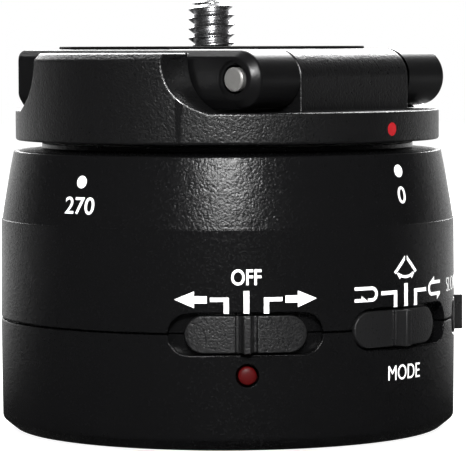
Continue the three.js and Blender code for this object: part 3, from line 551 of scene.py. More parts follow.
def wear_group() -> bpy.types.NodeTree:
    """Build the wear and dust that handling leaves.

    Returns:
        A group that gives masks of the polished edges, of the rubbed ones and of settled dust.
    """
    inputs = {"Rub": 0.5, "Dust": 0.3, "Polish": 0.8}
    sheet = Sheet("handling_wear", inputs, ("Polished", "Rubbed", "Dusty"))
    shape = sheet.add("ShaderNodeNewGeometry")
    above = sheet.math("SUBTRACT", shape.outputs["Pointiness"], 0.52)
    sharp = sheet.math("MULTIPLY", above, 12.0, clamp=True)
    cloud = sheet.noise(900.0, 3.0, 0.6)
    worn = sheet.math("MULTIPLY", sharp, cloud)
    specks = sheet.math("GREATER_THAN", sheet.noise(2600.0, 2.0, 0.5), 0.72)
    sheet.feed(sheet.exit, {
        "Polished": sheet.math("MULTIPLY", sharp, sheet.entry.outputs["Polish"]),
        "Rubbed": sheet.math("MULTIPLY", worn, sheet.entry.outputs["Rub"], clamp=True),
        "Dusty": sheet.math("MULTIPLY", specks, sheet.entry.outputs["Dust"], clamp=True),
    })
    return sheet.tree


class Surface(Enum):
    """The kinds of surface detail, each named by its group's input for the density."""

    GRAIN = "Grain per metre"
    MARKS = "Marks per metre"


class Groups:
    """The shader groups that the finishes share, each built once."""

    def __init__(self) -> None:
        """Build the groups."""
        self.detail = {Surface.GRAIN: grain_group(), Surface.MARKS: tool_mark_group()}
        self.wear = wear_group()


def shaded(name: str) -> tuple[bpy.types.Material, Wiring, bpy.types.Node]:
    """Make a material, and give it with its wiring and its shader."""
    material = bpy.data.materials.new(name)
    material.use_nodes = True
    return material, Wiring(material.node_tree), material.node_tree.nodes["Principled BSDF"]


DUST_COLOUR = (0.35, 0.34, 0.32, 1.0)
POLISHED_ROUGHNESS = 0.14
COAT_ROUGHNESS = 0.12


@dataclass(frozen=True)
class Finish:
    """One finish: the material's own values and its shares of the common effects."""

    name: str
    slot: str
    colour: Colour
    roughness: float
    surface: Surface = Surface.GRAIN
    density: float = 5200.0
    spread: float = 0.1
    relief: float = 0.01
    strength: float = 0.5
    metallic: float = 0.0
    specular: float = 0.5
    coat: float = 0.0
    rub: float = 0.3
    rub_colour: Colour = (0.05, 0.05, 0.05)
    dust: float = 0.0
    polish: float = 0.0

    def build(self, groups: Groups) -> bpy.types.Material:
        """Build the material.

        Args:
            groups: the shared shader groups.

        Returns:
            The material.
        """
        material, wiring, shader = shaded(self.name)
        detail = wiring.add(
            "ShaderNodeGroup",
            {self.surface.value: self.density, "Roughness": self.roughness, "Gloss spread": self.spread},
            node_tree=groups.detail[self.surface],
        )
        wear = wiring.add(
            "ShaderNodeGroup", {"Rub": self.rub, "Dust": self.dust, "Polish": self.polish},
            node_tree=groups.wear,
        )
        polished = wear.outputs["Polished"]
        rubbed = wiring.add("ShaderNodeMix", {
            "A": (*self.colour, 1.0), "B": (*self.rub_colour, 1.0), "Factor": wear.outputs["Rubbed"],
        }, data_type="RGBA")
        dusty = wiring.add("ShaderNodeMix", {
            "A": rubbed.outputs["Result"], "B": DUST_COLOUR, "Factor": wear.outputs["Dusty"],
        }, data_type="RGBA")
        smooth = wiring.add("ShaderNodeMix", {
            "A": detail.outputs["Roughness"], "B": min(POLISHED_ROUGHNESS, self.roughness),
            "Factor": polished,
        })
        depth = wiring.add("ShaderNodeMapRange", {"To Min": self.strength, "To Max": 0.0, "Value": polished})
        bump = wiring.add("ShaderNodeBump", {
            "Strength": depth.outputs["Result"], "Distance": self.relief * MM,
            "Height": detail.outputs["Height"],
        })
        wiring.feed(shader, {
            "Base Color": dusty.outputs["Result"], "Metallic": self.metallic,
            "Roughness": smooth.outputs["Result"], "Specular IOR Level": self.specular,
            "Coat Weight": self.coat, "Coat Roughness": COAT_ROUGHNESS, "Normal": bump.outputs["Normal"],
        })
        if self.polish > 0:
            gloss = wiring.add("ShaderNodeMapRange", {
                "To Min": self.specular, "To Max": 1.0, "Value": polished,
            })
            wiring.feed(shader, {"Specular IOR Level": gloss.outputs["Result"]})
        return material


class Stuff(Enum):
    """The finishes of this object."""

    SHELL = Finish(
        "moulded_black_shell", "grain_plastic", (0.003, 0.003, 0.0032), 0.22, density=3200.0,
        spread=0.2, relief=0.05, strength=1.0, specular=0.14, rub=0.0,
    )
    TURNTABLE = Finish(
        "moulded_black_turntable", "grain_plastic", (0.003, 0.003, 0.0032), 0.36, density=3200.0,
        spread=0.2, relief=0.07, strength=1.0, specular=0.42, rub=0.0, polish=0.8,
    )
    PLATFORM = Finish(
        "satin_black_platform", "satin_black", (0.003, 0.003, 0.0032), 0.34, density=4200.0,
        spread=0.12, relief=0.012, strength=0.8, specular=0.3, rub=0.0,
    )
    BUTTON = Finish(
        "moulded_grey_button", "button_plastic", (0.006, 0.006, 0.0063), 0.38, density=3600.0,
        spread=0.3, relief=0.07, strength=1.0, specular=0.35, rub=0.2, polish=0.3,
    )
    RUBBER = Finish(
        "black_rubber", "rubber", (0.003, 0.003, 0.003), 0.75, density=2600.0,
        spread=0.1, relief=0.02, strength=0.5, specular=0.1, rub=0.0, dust=0.01,
    )
    NICKEL = Finish(
        "brushed_nickel", "steel", (0.2, 0.197, 0.19), 0.42, Surface.MARKS, density=6000.0,
        spread=0.3, relief=0.02, strength=0.8, metallic=0.6, rub=0.2, rub_colour=(0.6, 0.6, 0.6),
    )
    STEEL = Finish(
        "turned_steel", "steel", (0.55, 0.55, 0.56), 0.26, Surface.MARKS, density=9000.0,
        spread=0.2, relief=0.004, strength=0.35, metallic=1.0, rub=0.2, rub_colour=(0.8, 0.8, 0.8),
    )
    DARK_STEEL = Finish(
        "blackened_steel", "dark_steel", (0.09, 0.09, 0.095), 0.38, Surface.MARKS, density=7000.0,
        spread=0.2, relief=0.004, strength=0.4, metallic=1.0, rub=0.6, rub_colour=(0.5, 0.5, 0.5),
    )
    BRASS = Finish(
        "turned_brass", "brass", (0.60, 0.42, 0.16), 0.3, Surface.MARKS, density=8000.0,
        spread=0.2, relief=0.004, strength=0.35, metallic=1.0, rub=0.2, rub_colour=(0.8, 0.65, 0.3),
    )
    BOARD = Finish(
        "green_board", "board", (0.012, 0.09, 0.03), 0.35, density=1500.0, spread=0.1,
        relief=0.004, strength=0.3, rub=0.1,
    )
    CHIP = Finish(
        "black_epoxy", "chip", (0.02, 0.02, 0.02), 0.55, density=7000.0, spread=0.1,
        relief=0.006, strength=0.4, rub=0.1,
    )
    ACETAL = Finish(
        "natural_acetal", "white_plastic", (0.72, 0.72, 0.68), 0.45, density=3000.0, spread=0.08,
        relief=0.004, strength=0.3, rub=0.1, rub_colour=(0.8, 0.8, 0.76),
    )
    FOIL = Finish(
        "battery_foil", "battery_foil", (0.5, 0.52, 0.55), 0.4, Surface.MARKS, density=1400.0,
        spread=0.25, relief=0.02, strength=0.5, metallic=0.7, rub=0.1, rub_colour=(0.6, 0.6, 0.6),
    )
    FOAM = Finish(
        "foam_tape", "foam_tape", (0.7, 0.66, 0.55), 0.9, density=2500.0, spread=0.05,
        relief=0.03, strength=0.7, specular=0.2, rub=0.0,
    )
    LED = Finish(
        "clear_led", "clear_led", (0.75, 0.7, 0.68), 0.12, density=2000.0, spread=0.03,
        relief=0.002, strength=0.2, coat=0.5, rub=0.0,
    )
    LENS = Finish(
        "red_lens", "red_lens", (0.042, 0.0005, 0.0008), 0.42, density=900.0, spread=0.04,
        relief=0.004, strength=0.3, specular=0.12, rub=0.1, rub_colour=(0.2, 0.01, 0.01),
    )
    RED_PRINT = Finish(
        "red_print", "red_lens", (0.24, 0.003, 0.006), 0.5, density=5200.0, spread=0.1,
        relief=0.008, strength=0.5, specular=0.2, rub=0.0,
    )
    WHITE_PRINT = Finish(
        "white_print", "white_plastic", (0.86, 0.86, 0.86), 0.5, density=5200.0, spread=0.1,
        relief=0.008, strength=0.4, rub=0.0,
    )


class Wardrobe:
    """Builds each finish once and puts it on pieces."""

    def __init__(self) -> None:
        """Start with the shared groups and no finishes."""
        self.groups = Groups()
        self.made: dict[Stuff, bpy.types.Material] = {}

    def dress(self, item: bpy.types.Object, stuff: Stuff) -> bpy.types.Object:
        """Give an object one finish all over.

        Args:
            item: the piece or CAD node.
            stuff: its finish.

        Returns:
            The dressed object.
        """
        if stuff not in self.made:
            self.made[stuff] = stuff.value.build(self.groups)
        item.data.materials.clear()
        item.data.materials.append(self.made[stuff])
        return item


@dataclass
class Assembly:
    """What every sub-assembly shares: the finishes, and the way to hand a piece over."""

    wardrobe: Wardrobe

    def settle(
        self, item: bpy.types.Object, stuff: Stuff, body: str, *nodes: str, angle: float = 30.0
    ) -> bpy.types.Object:
        """Smooth, lift, dress and attach a piece.

        Args:
            item: the piece, at heights measured from the base face.
            stuff: its finish.
            body: the CAD body that it rides on.
            nodes: the CAD nodes that it stands for.
            angle: the least angle of a crisp edge, in degrees.

        Returns:
            The piece.
        """
        shifted(finished(item, angle), z=LIFT)
        self.wardrobe.dress(item, stuff)
        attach(item, body)
        if nodes:
            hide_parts(*nodes)
        LOG.info("%s rides on %s with %d faces", item.name, body, len(item.data.polygons))
        return item


# The drum-shaped body


@dataclass(frozen=True)
class BodySizes:
    """The sizes of the drum-shaped body, in millimetres."""

    radius: float = 30.0
    base_radius: float = 28.0
    base_edge_radius: float = 29.88
    base_edge_height: float = 1.5
    base_edge_round: float = 0.35
    seam: float = 14.65
    seam_round: float = 0.24
    seam_gap: float = 0.1
    shoulder: float = 27.6
    shoulder_radius: float = 29.92
    shoulder_step: float = 0.12
    rim: float = 36.6
    rim_radius: float = 28.2
    rim_round: float = 0.6
    taper_bulge: float = 0.07
    deck_rise: float = 0.3
    neck_radius: float = 24.5
    neck_inner: float = 20.4
    neck: float = 37.6
    wall: float = 1.8
    floor: float = 2.2
    deck: float = 2.0
    belt_radius: float = 26.9
    belt_half: float = 3.15
    pad_recess: float = 0.9
    pad_inner: float = 9.4
    pad_outer: float = 20.5
    pad_proud: float = 0.3
    clearance: float = 0.3
    boss_circle: float = 23.5
    boss_radius: float = 2.8
    screw_seat: float = 2.6
    screw_sink: float = 1.2
    screw_radius: float = 1.15
    screw_head: float = 2.1
    screw_head_height: float = 1.4
    screw_end: float = 24.0
    bush_radius: float = 4.75
    bush_flange: float = 6.2
    bush_flange_height: float = 1.2
    bush_boss: float = 6.6
    bush_boss_height: float = 8.3
    bush_recess: float = 0.2
    bush_depth: float = 7.8
    bush_bore: float = 2.5
    bush_root: float = 3.2
    thread_outer: float = 3.06
    thread_inner: float = 2.4
    thread_pitch: float = 1.27
    rabbet_gap: float = 1.3
    glide_inner: float = 21.2
    glide_outer: float = 23.4
    glide_depth: float = 0.6
    spindle_hole: float = 8.5
    bearing_bore: float = 9.8
    bearing_wall: float = 11.6
    bearing_low: float = 29.3
    lens_angle: float = 4.5
    lens_radius: float = 1.15
    lens_height: float = 9.53
    lens_flange: float = 1.6
    socket_half: float = 4.5
    socket_low: float = 7.7
    socket_high: float = 10.9
    boss_angles: tuple[float, ...] = (27.15, 153.0, -150.0, -30.0)

    @property
    def socket_middle(self) -> float:
        """Give the height of the charging socket's middle."""
        return (self.socket_high + self.socket_low) / 2

    @property
    def socket_half_height(self) -> float:
        """Give half of the charging socket's height."""
        return (self.socket_high - self.socket_low) / 2

    def taper_radius(self, share: float) -> float:
        """Give the radius of the bulging stretch at a share of its height."""
        start = self.shoulder_radius - self.shoulder_step
        bulge = 4 * self.taper_bulge * share * (1 - share)
        return start + (self.rim_radius - start) * share + bulge

    def taper(self, steps: int = 24) -> list[Point]:
        """Give the bulging stretch from the shoulder to the rim."""
        shares = [step / steps for step in range(steps + 1)]
        return [
            (self.taper_radius(share), self.shoulder + (self.rim - self.shoulder) * share)
            for share in shares
        ]

    def surface(self, height: float) -> float:
        """Give the radius of the outer face at a height."""
        if height < self.seam:
            share = (height - self.base_edge_height) / (self.seam - self.base_edge_height)
            return self.base_edge_radius + (self.radius - self.base_edge_radius) * share
        if height < self.shoulder:
            share = (height - self.seam) / (self.shoulder - self.seam)
            return self.radius + (self.shoulder_radius - self.radius) * share
        return self.taper_radius((height - self.shoulder) / (self.rim - self.shoulder))


def thread_ripple(outer: float, inner: float, pitch: float, fade: Callable[[float], float]) -> Callable:
    """Give the radius of a screw thread round its rod.

    Args:
        outer: the radius of the crests.
        inner: the radius of the roots.
        pitch: the height of one turn.
        fade: gives the share of the full depth at a height.

    Returns:
        A ripple for revolved, which works where the given radius is the inner one.
    """

    def ripple(turn: float, radius: float, height: float) -> float:
        if abs(radius - inner) > ON_AXIS:
            return radius
        phase = (height / pitch - turn + 0.3) % 1.0
        crest = min(1.0, max(0.0, 1.3 * abs(2 * phase - 1) - 0.18))
        return inner + (outer - inner) * crest * fade(height)

    return ripple


@dataclass(frozen=True)
class SwitchSizes:
    """The sizes of a slide switch's pocket and button, in millimetres."""

    pocket_half: float = 9.67
    pocket_half_height: float = 2.6
    pocket_depth: float = 1.5
    pocket_lip: float = 0.18
    button_half: float = 7.6
    button_half_height: float = 2.3
    stem_half: float = 1.3
    stem_half_height: float = 1.2
    slot_half: float = 3.36
    rib_half: float = 0.86
    rib_crest: float = 0.45
    rib_proud: float = 1.5
    rib_round: float = 0.2
    groove_width: float = 0.5
    groove_depth: float = 0.5
    lever_pocket_half: float = 0.9
    travel: float = 3.525


@dataclass(frozen=True)
class Switch:
    """One slide switch: its name, its place round the body and where its button rests."""

    name: str
    angle: float
    rest: float


SWITCHES = (Switch("direction", 4.3, 0.0), Switch("mode", 50.0, -1.0), Switch("speed", 95.7, 0.0))


@dataclass
class DrumBody(Assembly):
    """The two shells of the body with what is let into them."""

    s: BodySizes = BodySizes()
    switch: SwitchSizes = SwitchSizes()

    def build(self) -> None:
        """Build every piece of the body."""
        self.lower_shell()
        self.upper_shell()
        self.base_ring()
        self.bush()
        self.screws()
        self.socket()

    def pocket_cutters(self) -> list[bpy.types.Object]:
        """Give the cutters of the three switch pockets and their stem slots."""
        s, w = self.s, self.switch
        bottom = s.radius - w.pocket_depth
        half = w.stem_half_height + s.clearance
        cutters = []
        for switch in SWITCHES:
            plug = lipped_plug(
                "pocket", lambda grow: stadium(w.pocket_half + grow, w.pocket_half_height + grow, s.seam),
                s.belt_radius - 1, s.radius - 0.02, w.pocket_lip, 1.0,
            )
            cut(plug, revolved("core", [(0, 5), (bottom, 5), (bottom, 25), (0, 25)]))
            slot = block(
                "slot", (s.belt_radius - 1, bottom + 0.2), (-w.slot_half, w.slot_half),
                (s.seam - half, s.seam + half),
            )
            cutters += [faced(plug, switch.angle), faced(slot, switch.angle)]
        return cutters

    def lower_shell(self) -> None:
        """Build the lower shell with its pockets, screw wells, recess and socket hole."""
        s = self.s
        bore = s.bush_radius + s.clearance
        inner = s.pad_inner - s.clearance
        outer = s.pad_outer + s.clearance
        face = s.seam - s.seam_gap
        profile = rounded([
            (bore, 0, 0.3), (inner, 0, 0.12), (inner, s.pad_recess, 0.1),
            (outer, s.pad_recess, 0.1), (outer, 0, 0.12), (s.base_radius, 0, s.base_edge_round),
            (s.base_edge_radius, s.base_edge_height, s.base_edge_round),
            (s.radius, face, s.seam_round), (s.belt_radius + 1, face, 0),
            (s.belt_radius + 1, s.seam + 1, 0.1), (s.belt_radius + s.clearance, s.seam + 1, 0.1),
            (s.belt_radius, s.seam, 0), (s.belt_radius, s.seam - s.belt_half, 0.5),
            (s.radius - s.wall, s.seam - s.belt_half - s.wall, 0.5),
            (s.base_edge_radius - s.wall, s.floor, 0.8), (s.bush_boss, s.floor, 0.6),
            (s.bush_boss, s.bush_boss_height, 0.2), (bore, s.bush_boss_height, 0.1),
        ])
        shell = revolved("lower_shell_skin", profile)
        cut(shell, *self.pocket_cutters(), self.lens_hole(), self.socket_hole())
        wide = s.screw_head + s.clearance
        narrow = s.screw_radius + s.clearance
        for angle in s.boss_angles:
            x, y = around(angle, s.boss_circle)
            boss = shifted(revolved("boss", rounded([
                (0, 1, 0), (s.boss_radius + 0.4, 1, 0), (s.boss_radius + 0.4, s.screw_seat + 1.8, 0.3),
                (s.boss_radius, s.screw_seat + 2.2, 0.3), (s.boss_radius, s.socket_high, 0.15),
                (0, s.socket_high, 0),
            ], closed=False), SMALL_STEPS), x, y)
            combined(shell, boss, Join.ADD)
            cut(shell, shifted(revolved("well", [
                (0, -1), (s.screw_head + 0.5, -1), (s.screw_head + 0.5, 0), (wide, 0.2), (wide, s.screw_seat),
                (narrow, s.screw_seat), (narrow, s.socket_high + 1), (0, s.socket_high + 1),
            ], SMALL_STEPS), x, y))
        self.settle(shell, Stuff.SHELL, "base", "lower_shell")

    def lens_hole(self) -> bpy.types.Object:
        """Give the cutter of the indicator lens's round hole, with an eased lip."""
        s = self.s
        plug = lipped_plug(
            "hole", lambda grow: arc((0, s.lens_height), s.lens_radius + s.clearance + grow, 0, 360, 64)[:-1],
            s.belt_radius - 2, s.surface(s.lens_height), 0.12, 1.0,
        )
        return faced(plug, s.lens_angle)

    def socket_outline(self, grow: float, corner: float) -> list[Point]:
        """Give the charging socket's outline.

        Args:
            grow: how much wider than the socket it is on every side.
            corner: the length of its corner rounds.

        Returns:
            The points of the outline.
        """
        s = self.s
        a, b, middle = s.socket_half + grow, s.socket_half_height + grow, s.socket_middle
        corners = ((a, middle - b), (a, middle + b), (-a, middle + b), (-a, middle - b))
        return rounded([(y, z, corner) for y, z in corners], 8)

    def socket_hole(self) -> bpy.types.Object:
        """Give the cutter of the charging socket's hole at the back."""
        s = self.s
        plug = lipped_plug(
            "socket_hole", lambda grow: self.socket_outline(s.clearance + grow, 1.1),
            s.belt_radius - 2, s.surface(s.socket_middle), 0.25, 1.0,
        )
        return faced(plug, 180)

    def upper_shell(self) -> None:
        """Build the upper shell with the shoulder, the bulging taper and the neck."""
        s = self.s
        underside = s.rim - s.deck
        rabbet, step = s.belt_radius + s.rabbet_gap, s.seam + s.rabbet_gap
        face = s.seam + s.seam_gap
        groove = s.neck - s.glide_depth
        profile = rounded([
            (rabbet, face, 0), (s.radius, face, s.seam_round),
            (s.shoulder_radius, s.shoulder, 0.1), (s.shoulder_radius - s.shoulder_step, s.shoulder + 0.05, 0),
        ], closed=False)
        profile += s.taper()[1:-1]
        profile += rounded([
            s.taper()[-2] + (0,), (s.rim_radius, s.rim, s.rim_round),
            (s.neck_radius, s.rim + s.deck_rise, 0.15), (s.neck_radius, s.neck, 0.15),
            (s.glide_outer, s.neck, 0.05), (s.glide_outer, groove, 0.05),
            (s.glide_inner, groove, 0.05), (s.glide_inner, s.neck, 0.05),
            (s.neck_inner, s.neck, 0.15), (s.neck_inner, s.rim, 0.2),
            (s.spindle_hole, s.rim, 0.2), (s.spindle_hole, underside, 0.05),
            (s.bearing_bore, underside, 0.05), (s.bearing_bore, s.bearing_low, 0.2),
            (s.bearing_wall, s.bearing_low, 0.2), (s.bearing_wall, underside, 0.4),
            (s.rim_radius - s.wall, underside, 0.6), (s.shoulder_radius - s.wall, s.shoulder, 0.4),
            (s.radius - s.wall, s.seam + s.belt_half + s.wall, 0.4),
            (s.belt_radius, s.seam + s.belt_half, 0.4), (s.belt_radius, step, 0), (rabbet, step, 0),
            (rabbet, face, 0),
        ], closed=False)[1:-1]
        shell = cut(revolved("upper_shell_skin", profile), *self.pocket_cutters())
        narrow, end = s.screw_radius + s.clearance, s.screw_end + 0.3
        for angle in s.boss_angles:
            x, y = around(angle, s.boss_circle)
            combined(shell, shifted(revolved("boss", [
                (0, 12.5), (s.boss_radius, 12.5), (s.boss_radius, underside + 0.2), (0, underside + 0.2),
            ], SMALL_STEPS), x, y), Join.ADD)
            hole = revolved("hole", [(0, 12), (narrow, 12), (narrow, end), (0, end)], SMALL_STEPS)
            cut(shell, shifted(hole, x, y))
        self.settle(shell, Stuff.SHELL, "base", "upper_shell")

    def base_ring(self) -> None:
        """Build the rubber ring with its grip ridges."""
        s = self.s
        ridges = 9
        width = (s.pad_outer - s.pad_inner) / ridges
        profile: list[Point] = [(s.pad_inner, s.pad_recess), (s.pad_outer, s.pad_recess)]
        for ridge in reversed(range(ridges)):
            start = s.pad_inner + ridge * width
            for share, drop in ((0.98, 0.15), (0.9, 0.03), (0.8, 0.0), (0.2, 0.0), (0.1, 0.03), (0.02, 0.15)):
                profile.append((start + share * width, drop - s.pad_proud))
        ring = revolved("grip_ring", profile, MEDIUM_STEPS * 2)
        self.settle(ring, Stuff.RUBBER, "base", "base_pad")

    def bush(self) -> None:
        """Build the threaded bush in the base."""
        s = self.s
        rows = 60
        low = s.bush_recess + 0.45
        top = s.bush_boss_height + s.bush_flange_height
        profile: list[Point] = [(0, s.bush_depth), (s.bush_bore, s.bush_depth)]
        profile += [(s.bush_bore, s.bush_depth - (s.bush_depth - low) * row / rows) for row in range(1, rows)]
        profile += rounded([
            (s.bush_root, low, 0), (s.bush_root + 0.45, s.bush_recess, 0.08),
            (s.bush_radius, s.bush_recess, 0.2), (s.bush_radius, s.bush_boss_height, 0),
            (s.bush_flange, s.bush_boss_height, 0.1), (s.bush_flange, top, 0.2), (0, top, 0),
        ], closed=False)

        def fade(height: float) -> float:
            return max(0.0, min(1.0, (s.bush_depth - height) / 0.6))

        ripple = thread_ripple(s.bush_root, s.bush_bore, s.thread_pitch, fade)
        bush = revolved("thread_bush", profile, SMALL_STEPS, ripple)
        self.settle(bush, Stuff.BRASS, "base", "tripod_bush", angle=40)

    def screws(self) -> None:
        """Build the four base screws with domed heads and cross drives."""
        s = self.s
        for index, angle in enumerate(s.boss_angles, 1):
            low = s.screw_seat - s.screw_head_height
            head = revolved("base_screw", rounded([
                (0, low, 0), (s.screw_head * 0.7, low + 0.02, 0.4), (s.screw_head, low + 0.5, 0.4),
                (s.screw_head, s.screw_seat, 0.08), (s.screw_radius, s.screw_seat, 0.05),
                (s.screw_radius, s.screw_end - 0.8, 0.1), (s.screw_radius * 0.3, s.screw_end, 0.1),
                (0, s.screw_end, 0),
            ], closed=False), SMALL_STEPS)
            for turn in (0, 90):
                blade = block("blade", (-0.95, 0.95), (-0.22, 0.22), (low - 1, low + 0.8))
                cut(head, placed(blade, Matrix.Rotation(math.radians(turn + angle), 4, "Z")))
            x, y = around(angle, s.boss_circle)
            head.name = f"base_screw_head_{index}"
            self.settle(shifted(head, x, y), Stuff.DARK_STEEL, "base", f"base_screw_{index}", angle=35)

    def socket(self) -> None:
        """Build the charging socket: a thin rolled shell round a contact tongue."""
        middle = self.s.socket_middle
        sheet, corner = 0.32, 1.0
        half, thin = 3.1, 0.33
        shell = drawn_out("socket_shell", self.socket_outline(0.0, corner), Axis.X, 21.3, 28.3)
        cut(shell, drawn_out("inside", self.socket_outline(-sheet, corner - sheet), Axis.X, 21.8, 29.0))
        tongue = drawn_out("tongue", rounded([
            (half, middle - thin, 0.1), (half, middle + thin, 0.1),
            (-half, middle + thin, 0.1), (-half, middle - thin, 0.1),
        ]), Axis.X, 21.6, 27.3)
        combined(shell, tongue, Join.ADD)
        self.settle(faced(eased(shell, 0.06), 180), Stuff.STEEL, "base", "charging_socket")


def around(angle: float, radius: float) -> Point:
    """Give the place at an angle and a radius round the body."""
    turn = math.radians(angle)
    return radius * math.sin(turn), -radius * math.cos(turn)


@dataclass
class SlideButtons(Assembly):
    """The three slide buttons and the lens of the indicator light."""

    body: BodySizes = BodySizes()
    s: SwitchSizes = SwitchSizes()

    def build(self) -> None:
        """Build the buttons and the lens."""
        for switch in SWITCHES:
            self.button(switch)
        self.lens()

    def button(self, switch: Switch) -> None:
        """Build one button with its finger rib and the grooves beside it.

        Args:
            switch: which switch it belongs to.
        """
        s, b = self.s, self.body
        inner = b.radius - s.pocket_depth + b.clearance
        foot, valley, top = inner + 0.2, b.radius - s.groove_depth, b.radius + s.rib_proud
        low, high = 8, 22
        curved = revolved("curved", [(inner, low), (b.radius, low), (b.radius, high), (inner, high)])
        outline = stadium(s.button_half, s.button_half_height, b.seam, 24)
        cap = drawn_out(f"{switch.name}_slide", outline, Axis.X, inner - 1, b.radius + 1)
        combined(cap, curved, Join.KEEP)
        for side in (-1, 1):
            middle, half = side * (s.rib_half + s.groove_width / 2), s.groove_width / 2
            cut(cap, block("groove", (valley, b.radius + 1), (middle - half, middle + half), (low, high)))
        combined(cap, block(
            "stem", (24.9, inner + 0.5), (-s.stem_half, s.stem_half),
            (b.seam - s.stem_half_height, b.seam + s.stem_half_height),
        ), Join.ADD)
        half = s.lever_pocket_half
        cut(cap, block("lever_pocket", (24, 26.1), (-half, half), (b.seam - half, b.seam + half)))
        cap = eased(cap, 0.14)
        rib = drawn_out("rib", rounded([
            (foot, -s.rib_half, 0), (valley, -s.rib_half, 0), (top, -s.rib_crest, s.rib_round),
            (top, s.rib_crest, s.rib_round), (valley, s.rib_half, 0), (foot, s.rib_half, 0),
        ], 6), Axis.Z, b.seam - s.button_half_height, b.seam + s.button_half_height)
        joined(cap, eased(rib, 0.15, angle=50))
        self.settle(
            faced(cap, switch.angle + switch.rest * s.travel), Stuff.BUTTON,
            f"{switch.name}_slider", f"{switch.name}_button",
        )

    def lens(self) -> None:
        """Build the domed lens of the indicator light."""
        b = self.body
        tip, dome = b.radius + 0.15, 0.42
        back, seat = 25.95, 26.95
        profile = [(0, back), (b.lens_flange, back), (b.lens_flange, seat), (b.lens_radius, seat)]
        profile += [
            (b.lens_radius * math.cos(a) ** 0.8, tip - dome + dome * math.sin(a))
            for a in (math.radians(89.9 * step / 16) for step in range(17))
        ]
        profile.append((0, tip))
        lens = revolved("indicator_dome", profile, SMALL_STEPS)
        placed(lens, Matrix.Rotation(math.radians(90), 4, "Y"))
        lens = faced(shifted(lens, z=b.lens_height), b.lens_angle)
        self.settle(lens, Stuff.LENS, "base", "indicator_lens")


# Printed signs


@dataclass(frozen=True)
class ScaleMark:
    """One number of the degree scale with its dot, and where both stand on the taper."""

    text: str
    angle: float
    dot_height: float
    number_height: float


SCALE = (
    ScaleMark("0", 48.9, 34.37, 31.34),
    ScaleMark("90", 138.9, 33.8, 30.8),
    ScaleMark("180", 228.9, 33.8, 30.8),
    ScaleMark("270", -39.3, 33.25, 30.3),
)
FONT_CAP_SHARE = 0.73
DISC_RADIUS = 27.95


